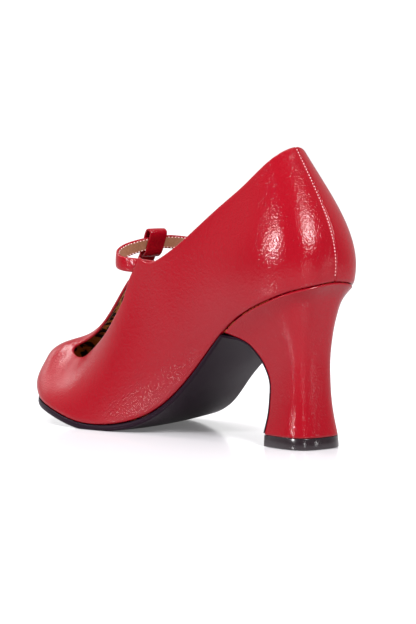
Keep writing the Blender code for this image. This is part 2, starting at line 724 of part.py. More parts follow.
def ring_tube(centre, along, up, face, half_along, half_up, corner, wire, sides=8):
    """A closed round wire bent to a rounded rectangle."""
    path = []
    for quarter, (a, b) in enumerate(((1, 1), (-1, 1), (-1, -1), (1, -1))):
        for step in range(4):
            angle = math.pi / 2 * (quarter + step / 3)
            x = a * (half_along - corner) + corner * math.cos(angle)
            y = b * (half_up - corner) + corner * math.sin(angle)
            path.append((x, y, math.cos(angle), math.sin(angle)))
    points = []
    for x, y, cx, cy in path:
        out = along * cx + up * cy
        for side in range(sides):
            turn = 2 * math.pi * side / sides
            offset = out * math.cos(turn) + face * math.sin(turn)
            points.append(centre + along * x + up * y + offset * wire / 2)
    faces = []
    count = len(path)
    for i in range(count):
        for side in range(sides):
            n = (i + 1) % count
            s = (side + 1) % sides
            faces.append((i * sides + s, n * sides + s, n * sides + side, i * sides + side))
    return np.array(points), faces


def buckle_frame():
    out = STRAP_THICK / 2 + GAP + BUCKLE_WIRE / 2
    centre, along, face, up = on_strap(BUCKLE_PLACE, out)
    half_up = STRAP_WIDTH / 2 + BUCKLE_SPARE + BUCKLE_WIRE / 2
    return ring_tube(centre, along, up, face, BUCKLE_LENGTH / 2, half_up, BUCKLE_CORNER, BUCKLE_WIRE)


def buckle_prong():
    out = STRAP_THICK / 2 + GAP + BUCKLE_WIRE + GAP + PRONG_WIRE / 2
    centre, along, face, up = on_strap(BUCKLE_PLACE, out)
    half = BUCKLE_LENGTH * PRONG_SHARE
    route = np.array([centre + along * half * place for place in (-1, -0.33, 0.33, 1)])
    lean = np.full(len(route), math.asin(face[2]))
    return band(route, lean, 5, PRONG_WIRE, PRONG_WIRE, ((0, 1), (1, 1)))


def buckle_tab():
    """Short tab sewn to the outer quarter at its rear end, running forward under the buckle."""
    inward = STRAP_THICK / 2 + GAP + TAB_THICK / 2
    route = []
    lean = []
    for share, sink in reversed(TAB_ROUTE):
        point, along, face, _ = on_strap(max(share, 0) * BUCKLE_LENGTH, -inward - sink * (KEEPER_THICK + GAP))
        route.append(point - along * min(share, 0) * BUCKLE_LENGTH)
        lean.append(math.asin(face[2]))
    shape = [(1 - along, width) for along, width in reversed(TAB_TIP)]
    return band(np.array(route), np.array(lean), 16, STRAP_WIDTH * TAB_SHARE, TAB_THICK, shape)


def strap_keeper():
    """Closed loop round the strap's end and the tab."""
    inner = STRAP_THICK / 2 + GAP + TAB_THICK + GAP
    outer = STRAP_THICK / 2 + GAP
    centre, along, face, up = on_strap(KEEPER_PLACE, (outer - inner) / 2)
    half_depth = (outer + inner) / 2
    half_up = STRAP_WIDTH / 2 + GAP
    points = []
    faces = []
    outline = []
    for grow in (0.0, KEEPER_THICK):
        for a, b in ((1, 1), (-1, 1), (-1, -1), (1, -1)):
            outline.append(face * a * (half_depth + grow) + up * b * (half_up + grow))
    for end in (-0.5, 0.5):
        points += [centre + along * end * KEEPER_WIDTH + offset for offset in outline]
    for i in range(4):
        n = (i + 1) % 4
        faces.append((4 + i, 4 + n, 12 + n, 12 + i))
        faces.append((n, i, 8 + i, 8 + n))
        faces.append((i, n, 4 + n, 4 + i))
        faces.append((8 + n, 8 + i, 12 + i, 12 + n))
    return np.array(points), faces


def material(name, colour, rough, metal=0.0):
    made = bpy.data.materials.new(name)
    made.use_nodes = True
    shader = made.node_tree.nodes["Principled BSDF"]
    shader.inputs["Base Color"].default_value = (*colour, 1)
    shader.inputs["Roughness"].default_value = rough
    shader.inputs["Metallic"].default_value = metal
    return made


PIECES = (
    ("upper", upper, "red_patent"), ("outsole", outsole, "black_rubber"), ("insole", insole, "lining"),
    ("heel", heel, "red_patent"), ("top_lift", top_lift, "black_plastic"), ("strap", strap, "red_patent"),
    ("buckle_frame", buckle_frame, "metal"), ("buckle_prong", buckle_prong, "metal"),
    ("buckle_tab", buckle_tab, "red_patent"), ("strap_keeper", strap_keeper, "red_patent"),
)


def build():
    for item in list(bpy.data.objects):
        bpy.data.objects.remove(item, do_unlink=True)
    looks = {
        "red_patent": material("red_patent", (0.45, 0.012, 0.025), 0.25),
        "black_rubber": material("black_rubber", (0.02, 0.015, 0.02), 0.5),
        "black_plastic": material("black_plastic", (0.01, 0.008, 0.01), 0.2),
        "lining": material("lining", (0.35, 0.16, 0.05), 0.6),
        "metal": material("metal", (0.7, 0.7, 0.7), 0.2, 1.0),
    }
    solids = [(name, *make(), look) for name, make, look in PIECES]
    every = np.vstack([points for _, points, _, _ in solids])
    low, high = every.min(axis=0), every.max(axis=0)
    centre = np.array([(low[0] + high[0]) / 2, (low[1] + high[1]) / 2, 0])
    for name, points, faces, look in solids:
        mesh = bpy.data.meshes.new(name)
        mesh.from_pydata((points - centre).tolist(), [], [list(face) for face in faces])
        mesh.update()
        mesh.shade_smooth()
        mesh.set_sharp_from_angle(angle=math.radians(40))
        mesh.materials.append(looks[look])
        bpy.context.scene.collection.objects.link(bpy.data.objects.new(name, mesh))


build()
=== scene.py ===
"""Looks of the right t strap shoe in red crinkle patent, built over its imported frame.

Metres, +X to the outer side, +Y to the toe, +Z up. The sections follow the shoe as it is made.
"""
import math

import bpy
import numpy as np
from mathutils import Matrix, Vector


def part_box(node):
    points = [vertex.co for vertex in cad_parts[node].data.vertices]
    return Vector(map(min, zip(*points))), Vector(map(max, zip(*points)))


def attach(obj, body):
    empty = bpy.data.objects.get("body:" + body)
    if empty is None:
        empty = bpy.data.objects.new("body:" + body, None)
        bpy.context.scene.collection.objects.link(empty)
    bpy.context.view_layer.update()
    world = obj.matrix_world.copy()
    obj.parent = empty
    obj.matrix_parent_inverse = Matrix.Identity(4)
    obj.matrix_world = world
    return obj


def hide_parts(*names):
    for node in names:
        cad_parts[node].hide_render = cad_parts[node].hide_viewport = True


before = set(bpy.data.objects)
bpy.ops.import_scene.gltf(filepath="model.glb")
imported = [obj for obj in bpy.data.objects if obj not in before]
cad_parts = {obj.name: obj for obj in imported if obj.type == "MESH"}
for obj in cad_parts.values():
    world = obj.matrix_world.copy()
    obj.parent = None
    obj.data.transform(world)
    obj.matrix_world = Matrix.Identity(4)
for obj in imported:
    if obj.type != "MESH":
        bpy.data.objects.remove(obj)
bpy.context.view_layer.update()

# The last: the foot-shaped form that the upper is pulled over and the sole is fitted to.
# It is worked out from the shoe's length, ball width, heel height and instep, with a row of shares for
# each section from the back seam to the toe. Every piece below takes its shape and place from it.
LENGTH = 0.224
BALL_WIDTH = 0.0775
HEEL_HEIGHT = 0.0855
COUNTER_HEIGHT = 0.0665
INSTEP_HEIGHT = 0.0875
WALL = 0.0016
GAP = 0.0003

SECTIONS = np.array([
    # along inner outer rise_in rise_out bulge edge_along edge_in edge_out counter instep foot
    (0.011, 0.000, 0.000, 1.000, 1.000, 0.120, 0.145, 0.000, 0.000, 1.030, 0.000, 0.225),
    (0.020, 0.165, 0.165, 0.983, 0.983, 0.115, 0.156, 0.100, 0.100, 1.015, 0.000, 0.228),
    (0.060, 0.280, 0.280, 0.948, 0.948, 0.098, 0.183, 0.180, 0.180, 0.955, 0.000, 0.250),
    (0.120, 0.340, 0.340, 0.885, 0.885, 0.075, 0.237, 0.252, 0.252, 0.855, 0.000, 0.290),
    (0.210, 0.346, 0.352, 0.776, 0.776, 0.055, 0.308, 0.316, 0.316, 0.785, 0.000, 0.360),
    (0.330, 0.302, 0.328, 0.540, 0.552, 0.050, 0.395, 0.358, 0.358, 0.865, 0.000, 0.470),
    (0.440, 0.294, 0.362, 0.277, 0.345, 0.052, 0.478, 0.372, 0.372, 0.600, 0.360, 0.560),
    (0.545, 0.361, 0.447, 0.095, 0.158, 0.040, 0.558, 0.355, 0.355, 0.200, 0.790, 0.638),
    (0.635, 0.452, 0.492, 0.038, 0.080, 0.035, 0.629, 0.329, 0.329, 0.000, 0.790, 0.698),
    (0.720, 0.500, 0.494, 0.042, 0.052, 0.040, 0.712, 0.258, 0.258, 0.000, 0.570, 0.757),
    (0.800, 0.494, 0.458, 0.086, 0.082, 0.045, 0.801, 0.220, 0.220, 0.000, 0.335, 0.817),
    (0.875, 0.437, 0.387, 0.130, 0.124, 0.040, 0.871, 0.219, 0.219, 0.000, 0.264, 0.866),
    (0.930, 0.325, 0.277, 0.153, 0.151, 0.042, 0.924, 0.230, 0.205, 0.000, 0.232, 0.890),
    (0.970, 0.200, 0.160, 0.162, 0.161, 0.038, 0.969, 0.150, 0.125, 0.000, 0.208, 0.900),
    (0.990, 0.105, 0.070, 0.166, 0.165, 0.036, 0.984, 0.077, 0.057, 0.000, 0.200, 0.903),
    (1.000, 0.015, -0.015, 0.168, 0.168, 0.036, 0.988, 0.008, -0.008, 0.000, 0.197, 0.904),
])
RIDGE = np.array([
    # along, height over the feather line as a share of the instep
    (0.155, 1.110), (0.232, 1.180), (0.357, 1.220), (0.491, 1.210), (0.580, 1.110), (0.634, 1.000),
    (0.699, 0.866), (0.737, 0.756), (0.786, 0.591), (0.821, 0.494), (0.871, 0.392), (0.915, 0.334),
])
SWELL_LOW = 5.4
SWELL_DROP = 3.4


class Curve:
    """The C2 cubic through the knots, natural at its ends or periodic."""

    def __init__(self, knots, values, period=None):
        knots = np.asarray(knots, float)
        values = np.asarray(values, float).reshape(len(knots), -1)
        self.period = period
        if period:
            knots = np.append(knots, knots[0] + period)
            values = np.vstack([values, values[:1]])
        step = np.diff(knots)
        rate = np.diff(values, axis=0) / step[:, None]
        system = np.eye(len(knots))
        right = np.zeros(values.shape)
        for i in range(1, len(knots) - 1):
            system[i, i - 1:i + 2] = step[i - 1], 2 * (step[i - 1] + step[i]), step[i]
            right[i] = 6 * (rate[i] - rate[i - 1])
        if period:
            system[0, -1] = -1
            system[-1] = 0
            system[-1, [0, 1, -2, -1]] = 2 * step[0], step[0], step[-1], 2 * step[-1]
            right[-1] = 6 * (rate[0] - rate[-1])
        self.knots, self.values, self.step = knots, values, step
        self.bend = np.linalg.solve(system, right)

    def __call__(self, at):
        """Value and slope at each place."""
        at = np.atleast_1d(np.asarray(at, float))
        if self.period:
            at = (at - self.knots[0]) % self.period + self.knots[0]
        i = np.clip(np.searchsorted(self.knots, at, side="right") - 1, 0, len(self.step) - 1)
        left = (self.knots[i + 1] - at)[:, None]
        gone = (at - self.knots[i])[:, None]
        h = self.step[i][:, None]
        before, after = self.bend[i], self.bend[i + 1]
        low, high = self.values[i], self.values[i + 1]
        value = (before * left**3 + after * gone**3) / (6 * h)
        value += (low / h - before * h / 6) * left + (high / h - after * h / 6) * gone
        slope = (after * gone**2 - before * left**2) / (2 * h) + (high - low) / h - (after - before) * h / 6
        return value, slope


def solve_rising(function, low, high, steps=44):
    """Where a rising function of one value crosses zero, by halving."""
    low = np.array(low, float)
    high = np.array(high, float)
    for _ in range(steps):
        middle = (low + high) / 2
        above = function(middle) > 0
        high = np.where(above, middle, high)
        low = np.where(above, low, middle)
    return (low + high) / 2


FEATHER = Curve(SECTIONS[:, 0] * LENGTH, (SECTIONS[:, 3] + SECTIONS[:, 4]) / 2 * HEEL_HEIGHT)
OVER_FEATHER = Curve(RIDGE[:, 0] * LENGTH, RIDGE[:, 1] * INSTEP_HEIGHT)


def feather_height(y):
    """Height and slope of the feather line, taken between the two sides."""
    value, slope = FEATHER(y)
    return value[:, 0], slope[:, 0]


def ridge_height(y):
    """Height and slope of the ridge line on the centre plane."""
    up, climb = OVER_FEATHER(y)
    base, slope = feather_height(y)
    return base + up[:, 0], slope + climb[:, 0]


def section_rows():
    """Knots round the shoe (0 back, 1 toe, 2 back again) and the values held at them."""
    along, inner, outer, rise_in, rise_out, bulge = SECTIONS[:, :6].T
    edge_along, edge_in, edge_out, counter, instep, foot = SECTIONS[:, 6:].T
    y = along * LENGTH
    base = (rise_in + rise_out) / 2 * HEEL_HEIGHT
    edge_z = base + counter * COUNTER_HEIGHT + instep * INSTEP_HEIGHT
    tail = [edge_along * LENGTH, edge_z, bulge * BALL_WIDTH, foot * LENGTH]
    medial = np.column_stack([-inner * BALL_WIDTH, y, rise_in * HEEL_HEIGHT, -edge_in * BALL_WIDTH] + tail)
    lateral = np.column_stack([outer * BALL_WIDTH, y, rise_out * HEEL_HEIGHT, edge_out * BALL_WIDTH] + tail)
    chord = [np.linalg.norm(np.diff(side[:, :3], axis=0), axis=1) for side in (medial, lateral)]
    knots = np.append(0, np.cumsum(sum(chord)))
    knots /= knots[-1]
    return np.append(knots, 2 - knots[-2:0:-1]), np.vstack([medial, lateral[-2:0:-1]])


ROUND = Curve(*section_rows(), period=2.0)


def last_point(u, h):
    """A point of the last: u goes round it, h up it (0 feather, 1 shoulder, 2 ridge)."""
    u, h = np.broadcast_arrays(np.atleast_1d(np.asarray(u, float)), np.asarray(h, float))
    row, turn = ROUND(u)
    low = row[:, :3]
    shoulder = row[:, 3:6]
    ridge_z, ridge_slope = ridge_height(row[:, 7])
    top = np.column_stack([0 * row[:, 7], row[:, 7], ridge_z])
    out = np.column_stack([-turn[:, 1], turn[:, 0], 0 * row[:, 0]])
    out /= np.linalg.norm(out, axis=1)[:, None]
    swell = row[:, 6][:, None] * out
    t = np.minimum(h, 1)[:, None]
    wall = low + (shoulder - low) * t + t * (1 - t) * (SWELL_LOW - SWELL_DROP * t) * swell
    s = np.clip(h - 1, 0, 1)[:, None]
    reach = np.linalg.norm(top - shoulder, axis=1) / np.linalg.norm(shoulder - low, axis=1)
    leave = (shoulder - low - (SWELL_LOW - SWELL_DROP) * swell) * reach[:, None]
    arrive = top - shoulder
    arrive[:, 2] = ridge_slope * arrive[:, 1]
    crown = (1 + 2 * s) * (1 - s)**2 * shoulder + s * (1 - s)**2 * leave
    crown += s**2 * (3 - 2 * s) * top - s**2 * (1 - s) * arrive
    return np.where(t < 1, wall, crown)


def last_normal(u, h):
    """Outward normal of the last by small steps in both directions."""
    du = 0.002
    dh = 0.01
    h = np.asarray(h, float)
    round_it = last_point(u + du, h) - last_point(u - du, h)
    up_it = last_point(u, np.minimum(h + dh, 2)) - last_point(u, np.maximum(h - dh, 0))
    normal = np.cross(up_it, round_it)
    return normal / np.maximum(np.linalg.norm(normal, axis=1), 1e-12)[:, None]


def place_at(column, share):
    """Where round the inner side a column of the rows reaches a share of the length."""
    def over(u):
        return ROUND(u)[0][:, column] - share * LENGTH
    return solve_rising(over, [0.0], [1.0])[0]


# Upper: quarters, vamp and T-bar of polyurethane patent leather with a glazed, finely crinkled face,
# lined with leopard-print cloth. It is lasted in one piece, its edges are folded over and rolled, and the
# T-bar's top is turned back as a loop for the strap. A seam with a stitched row closes it behind.
TOPLINE = np.array([
    # along, height over the feather line as shares of the counter and of the instep
    (0.120, 1.230, 0.000), (0.1415, 1.182, 0.000), (0.161, 1.146, 0.000), (0.188, 1.092, 0.000),
    (0.223, 1.033, 0.000), (0.268, 1.008, 0.000), (0.335, 1.005, 0.000), (0.402, 0.900, 0.090),
    (0.469, 0.600, 0.352), (0.527, 0.200, 0.724), (0.549, 0.000, 0.926), (0.570, -0.160, 1.090),
])
FRONT_EDGE = np.array([
    # along, height over the feather line as a share of the instep
    (0.520, 1.070), (0.549, 0.926), (0.567, 0.872), (0.585, 0.812), (0.598, 0.732), (0.621, 0.652),
    (0.663, 0.548), (0.723, 0.439), (0.781, 0.341), (0.821, 0.296), (0.857, 0.280), (0.893, 0.280),
])
BAR_WIDTH = 0.0095
BAR_EDGE = np.array([(0.600, 0.50), (0.715, 0.50), (0.786, 0.59), (0.840, 0.74), (0.893, 0.92)])
TAB_CORNER = 0.549
BAR_TOP = 0.722
CUT_END = 0.868
CUT_ROUND = 0.050
TUCK = 0.0011
TUCK_HEIGHT = 0.0022
SEAM_DEPTH = 0.0006
SEAM_WIDTH = 0.0005
STRAP_WIDTH = 0.0075
STRAP_THICK = 0.0016
STRAP_LIFT = 0.0047
STRAP_SHEAR = -0.33
LOOP_WIDTH = 0.0082
LOOP_WALL = 0.0011
LOOP_ROOM = 0.0004
LOOP_SLACK = 0.0028
LOOP_SHARE = 0.640
LOOP_LEAN = math.radians(22)
LEAN_REACH = 0.24
FRONT_LEG = ((1.9, 1.25), (0.4, 1.02))
BACK_LEG = ((0.0, 1.0), (0.7, 0.85), (1.5, 0.40))
FOOT_SHARE = 0.45
CROWN_START = 0.45
CROWN_STEP = 0.09
FOLD_ANGLES = (36, 72, 108, 144)
TOPLINE_CEILING = 1.05
VAMP_LEVEL = 1.1
SEAM_REACH = 0.1
LINED_SHARE = 0.30
TUCKED_ROWS = 6

TOP_CURVE = Curve(TOPLINE[:, 0] * LENGTH, TOPLINE[:, 1] * COUNTER_HEIGHT + TOPLINE[:, 2] * INSTEP_HEIGHT)
FRONT_CURVE = Curve(FRONT_EDGE[:, 0] * LENGTH, FRONT_EDGE[:, 1] * INSTEP_HEIGHT)
BAR_CURVE = Curve(BAR_EDGE[:, 0] * LENGTH, BAR_EDGE[:, 1] * BAR_WIDTH)


def line_level(line, u, highest):
    """How far up the last a line of the side-view pattern lies, at each place round it."""
    def over(h):
        point = last_point(u, h)
        y = point[:, 1]
        return point[:, 2] - line(y)[0][:, 0] - feather_height(y)[0]
    return solve_rising(over, np.full(len(u), 0.3), np.full(len(u), highest))


def bar_level(u):
    """How far up the last the side edge of the T-bar lies."""
    def inside(h):
        point = last_point(u, h)
        return BAR_CURVE(point[:, 1])[0][:, 0] - np.abs(point[:, 0])
    return solve_rising(inside, np.full(len(u), 0.5), np.full(len(u), 2.0))


def tab_place():
    """Where round the inner side the topline reaches the tab's corner."""
    def over(u):
        return last_point(u, line_level(TOP_CURVE, u, TOPLINE_CEILING))[:, 1] - TAB_CORNER * LENGTH
    return solve_rising(over, [0.2], [0.8])[0]


def spread(low, high, count, ease=0.0):
    """Evenly spaced values, drawn towards both ends by ease."""
    t = np.linspace(0, 1, count)
    t = t + ease * (0.5 - 0.5 * np.cos(math.pi * t) - t)
    return low + (high - low) * t


def run_length(route):
    """Distance along a route to each of its points."""
    return np.append(0, np.cumsum(np.linalg.norm(np.diff(route, axis=0), axis=1)))


def strap_centre():
    """Where the strap's middle crosses the T-bar: along the shoe and up."""
    y = LOOP_SHARE * LENGTH
    return y, feather_height(y)[0][0] + INSTEP_HEIGHT + STRAP_LIFT


def loop_place(up, out):
    """A point in the loop's side view: up along its leaning middle and out to the front of it."""
    y, z = strap_centre()
    cos, sin = math.cos(LOOP_LEAN), math.sin(LOOP_LEAN)
    return y + out * cos - up * sin, z + out * sin + up * cos


def loop_rows(count):
    """Side view of the T-bar's top, from the instep over the strap and down behind it, as smooth rows."""
    reach = STRAP_THICK / 2 + GAP + LOOP_ROOM + LOOP_WALL
    low = -STRAP_WIDTH / 2
    top = STRAP_WIDTH / 2 + GAP + LOOP_SLACK - reach / 2
    join = BAR_TOP * LENGTH
    start = join - FOOT_SHARE * BAR_WIDTH
    points = [(at, ridge_height(at)[0][0]) for at in (join, start)]
    points += [loop_place(low - down * reach, out * reach) for down, out in FRONT_LEG]
    points += [loop_place(0, reach), loop_place(top, reach)]
    for angle in np.radians(FOLD_ANGLES):
        points.append(loop_place(top + reach * math.sin(angle), reach * math.cos(angle)))
    points += [loop_place(top, -reach), loop_place(0, -reach)]
    points += [loop_place(low - down * reach, -out * reach) for down, out in BACK_LEG]
    path = np.array(points)
    rise = np.clip((path[:, 1] - path[1, 1]) / (path[3, 1] - path[1, 1]), 0, 1)
    rise[4:] = 1
    crown = CROWN_START - CROWN_STEP * np.arange(-1, len(path) - 1)
    crown = np.clip(WALL * crown, WALL / 16, WALL / 2)
    width = BAR_WIDTH + (LOOP_WIDTH - BAR_WIDTH) * rise
    wall = WALL + (LOOP_WALL - WALL) * rise
    along = run_length(path)
    at = np.linspace(0, along[-1], count)
    line, tangent = Curve(along, path)(at)
    tangent /= np.linalg.norm(tangent, axis=1)[:, None]
    shear = STRAP_SHEAR * rise
    rest = np.column_stack([np.interp(at, along, value) for value in (shear, crown, width, wall)])
    return at, line, np.column_stack([tangent[:, 1], -tangent[:, 0]]), rest


def rolled_shell(outer, inner, faces, flat, steps=6):
    """A solid between two like sheets, its free edges rolled round."""
    count = len(outer)
    free = set()
    for face in faces:
        for a, b in zip(face, face[1:] + face[:1]):
            if (b, a) in free:
                free.discard((b, a))
            else:
                free.add((a, b))
    away = np.zeros((count, 3))
    half = (outer - inner) / 2
    for a, b in sorted(free):
        side = np.cross(outer[b] - outer[a], half[a] + half[b])
        side /= max(np.linalg.norm(side), 1e-12)
        away[a] += side
        away[b] += side
    points = [outer, inner]
    ring = {}
    total = 2 * count
    for vertex in sorted({a for a, _ in free}):
        radius = np.linalg.norm(half[vertex])
        push = away[vertex] / max(np.linalg.norm(away[vertex]), 1e-12) * radius * (0 if flat[vertex] else 1)
        middle = (outer[vertex] + inner[vertex]) / 2
        angle = np.arange(1, steps)[:, None] * math.pi / steps
        points.append(middle + half[vertex] * np.cos(angle) + push * np.sin(angle))
        ring[vertex] = [vertex, *range(total, total + steps - 1), vertex + count]
        total += steps - 1
    solid = list(faces) + [tuple(i + count for i in reversed(face)) for face in faces]
    rim = []
    for a, b in sorted(free):
        for k in range(steps):
            rim.append((ring[b][k], ring[a][k], ring[a][k + 1], ring[b][k + 1]))
    return np.vstack(points), solid + rim


def upper_mesh():
    """Outer and inner sheet of the upper as one solid, and how its faces divide."""
    tab = tab_place()
    cut_end = place_at(7, CUT_END)
    bar_top = place_at(7, BAR_TOP)
    seam_columns = np.array([0, 0.0007, 0.0014, 0.0022, 0.0032, 0.0045])
    quarter_start = 0.0065
    inner_u = np.concatenate([seam_columns, spread(quarter_start, tab, 76),
                              spread(tab, bar_top, 22)[1:], spread(bar_top, cut_end, 70, 0.85)[1:],
                              spread(cut_end, 1, 42, 0.2)[1:]])
    u = np.concatenate([inner_u, 2 - inner_u[-2:0:-1]])
    count = len(u)
    near = np.minimum(u, 2 - u)
    mirrored = u > 1

    topline = line_level(TOP_CURVE, u, TOPLINE_CEILING)
    edge = np.where(near <= tab + 1e-9, topline, line_level(FRONT_CURVE, u, 2.0))
    bar = bar_level(u)
    middle = (edge + bar) / 2
    rounding = CUT_ROUND * cut_end
    share = np.clip((near - (cut_end - rounding)) / rounding, 0, 1)
    gap = (bar - edge) / 2 * np.sqrt(1 - share**2)
    past = np.clip((near - cut_end) / (1 - cut_end), 0, 1)
    low_edge = middle - gap
    high_edge = middle + gap
    level_end = np.interp(cut_end, inner_u, middle[:len(inner_u)])
    vamp = near >= cut_end - 1e-9
    low_edge[vamp] = high_edge[vamp] = level_end + (VAMP_LEVEL - level_end) * past[vamp]

    wall_levels = np.concatenate([[0, 0.006, 0.012, 0.02, 0.032, 0.048], spread(0.07, 1, 36)])
    crown_rows = 20
    points = []
    normals = []
    index = {}

    def keep(name, point, normal):
        index[name] = len(points)
        points.append(point)
        normals.append(normal)

    for j, step in enumerate(wall_levels):
        place = last_point(u, low_edge * step)
        facing = last_normal(u, low_edge * step)
        over = np.clip((place[:, 2] - last_point(u, 0.0)[:, 2]) / TUCK_HEIGHT, 0, 1)
        place = place - facing * (TUCK * (1 - np.sqrt(1 - (1 - over)**2)))[:, None]
        groove = SEAM_DEPTH * np.exp(-(place[:, 0] / SEAM_WIDTH)**2) * (near < SEAM_REACH)
        place = place - facing * groove[:, None]
        for i in range(count):
            keep(("wall", j, i), place[i], facing[i])
    wall_rows = len(wall_levels) - 1
    crowned = [i for i in range(count) if near[i] >= bar_top - 1e-9]
    for k in range(crown_rows + 1):
        level = high_edge + (2 - high_edge) * k / crown_rows
        place = last_point(u, level)
        facing = last_normal(u, level)
        for i in crowned:
            if k == 0 and vamp[i]:
                index["crown", k, i] = index["wall", wall_rows, i]
            elif k == crown_rows and mirrored[i]:
                index["crown", k, i] = index["crown", k, count - i]
            elif k == crown_rows:
                slope = ridge_height(place[i, 1])[1][0]
                keep(("crown", k, i), place[i], np.array([0, -slope, 1]) / math.hypot(1, slope))
            else:
                keep(("crown", k, i), place[i], facing[i])

    faces = []
    for j in range(wall_rows):
        for i in range(count):
            n = (i + 1) % count
            faces.append(tuple(index["wall", *c] for c in ((j, n), (j, i), (j + 1, i), (j + 1, n))))
    for k in range(crown_rows):
        for i in crowned[:-1]:
            corners = [index["crown", *c] for c in ((k, i + 1), (k, i), (k + 1, i), (k + 1, i + 1))]
            corners = tuple(dict.fromkeys(corners))
            if len(corners) > 2:
                faces.append(corners)

    first = crowned[0]
    across = [index["crown", k, first] for k in range(crown_rows + 1)]
    across += [index["crown", k, count - first] for k in range(crown_rows - 1, -1, -1)]
    sides = np.linspace(-1, 1, len(across))
    at, line, turn, rest = loop_rows(110)
    start = np.array([points[i] for i in across])
    ideal = np.column_stack([sides * BAR_WIDTH / 2, np.full(len(sides), line[0, 0]),
                             line[0, 1] - rest[0, 1] * sides**2])
    settle = 0.8 * BAR_WIDTH
    for row in range(1, len(at)):
        (y, z), (ny, nz), (shear, crown, width, wall) = line[row], turn[row], rest[row]
        fade = np.clip(1 - at[row] / settle, 0, 1)
        fade = fade * fade * (3 - 2 * fade)
        new = []
        for column, place in enumerate(sides):
            x = place * width / 2
            sink = crown * place**2
            point = np.array([x, y + shear * x - sink * ny, z - sink * nz])
            point += (start[column] - ideal[column]) * fade
            new.append(len(points))
            points.append(point)
            normals.append(np.array([0, ny, nz]) * wall / WALL)
        if at[row] < LINED_SHARE * at[-1]:
            lined = len(faces) + len(across) - 1
        for a in range(len(across) - 1):
            faces.append((across[a + 1], across[a], new[a], new[a + 1]))
        across = new

    outer = np.array(points)
    inward = np.array(normals)
    seat = [index["wall", 0, i] for i in range(count)]
    inward[seat, 2] = 0
    inward[seat] /= np.linalg.norm(inward[seat], axis=1)[:, None]
    flat = np.zeros(len(outer), bool)
    flat[seat] = True
    solid, all_faces = rolled_shell(outer, outer - WALL * inward, faces, flat)
    return solid, all_faces, len(faces), (TUCKED_ROWS * count, lined)


# Place in the frame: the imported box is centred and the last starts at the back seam. The step between
# them is read off the top-lift, the one piece whose box shows the heel's middle and its back edge.
LIFT_HEIGHT = 0.0056
HEEL_WAIST_WIDTH = 0.0256
HEEL_WAIST_LENGTH = 0.0232
HEEL_BACK = 0.0144
HEEL_FLARE = 1.24
BACK_FLARE = 1.5
FRONT_FLARE = 0.55
HEEL_TURNED = 0.62
HEEL_SQUARE = 2.9
HEEL_TAPER = 0.05
HEEL_COLUMNS = 61
LIFT_SPREAD = 1.02


def heel_outline(grow, count):
    """Inner half of a heel section, back centre to front corner: round behind, straight before."""
    half = HEEL_WAIST_WIDTH / 2 * grow
    centre = HEEL_BACK + HEEL_WAIST_LENGTH * 0.5
    back = centre - HEEL_WAIST_LENGTH * 0.5 * (1 + (grow - 1) * BACK_FLARE)
    front = centre + HEEL_WAIST_LENGTH * 0.5 * (1 + (grow - 1) * FRONT_FLARE)
    turned = int(count * HEEL_TURNED)
    angle = np.linspace(0, math.pi / 2, turned)
    square = 2 / HEEL_SQUARE
    x = half * np.sin(angle)**square
    y = centre - (centre - back) * np.cos(angle)**square
    rest = np.linspace(0, 1, count - turned + 1)[1:]
    x = np.append(x, half * (1 - HEEL_TAPER * rest**2))
    y = np.append(y, centre + (front - centre) * rest)
    return np.column_stack([-x, y])


lift_low, lift_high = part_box("top_lift")
lift_back = heel_outline(HEEL_FLARE * LIFT_SPREAD, 15)[0, 1]
TO_FRAME = np.array([(lift_low[0] + lift_high[0]) / 2, lift_low[1] - lift_back, 0])


def linear(code):
    """Scene-linear colour of an sRGB hex code."""
    parts = [int(code[i:i + 2], 16) / 255 for i in (1, 3, 5)]
    return tuple(c / 12.92 if c <= 0.04045 else ((c + 0.055) / 1.055)**2.4 for c in parts) + (1.0,)


def feed(tree, node, inputs):
    """A node's inputs, each given its value or its link."""
    for name, value in inputs.items():
        if isinstance(value, bpy.types.NodeSocket):
            tree.links.new(value, node.inputs[name])
        else:
            node.inputs[name].default_value = value


def add(tree, kind, inputs=None, **settings):
    """One node of a tree, with its settings and its inputs."""
    node = tree.nodes.new(kind)
    for name, value in settings.items():
        setattr(node, name, value)
    feed(tree, node, inputs or {})
    return node


def surface(name):
    """A new material's tree and its shader, and the place on the piece in metres."""
    made = bpy.data.materials.new(name)
    made.use_nodes = True
    tree = made.node_tree
    shader = tree.nodes["Principled BSDF"]
    place = add(tree, "ShaderNodeTexCoord").outputs["Object"]
    return made, tree, shader, place


def wandering(tree, place, scale, reach):
    """The place on the piece, pushed about by a soft noise so that a pattern's cells aren't regular."""
    warp = add(tree, "ShaderNodeTexNoise", {"Vector": place, "Scale": scale, "Detail": 2.0})
    offset = add(tree, "ShaderNodeVectorMath", {0: warp.outputs["Color"], 1: (0.5, 0.5, 0.5)},
                 operation="SUBTRACT")
    moved = add(tree, "ShaderNodeVectorMath", {0: offset.outputs[0], "Scale": reach}, operation="SCALE")
    return add(tree, "ShaderNodeVectorMath", {0: place, 1: moved.outputs[0]}, operation="ADD").outputs[0]


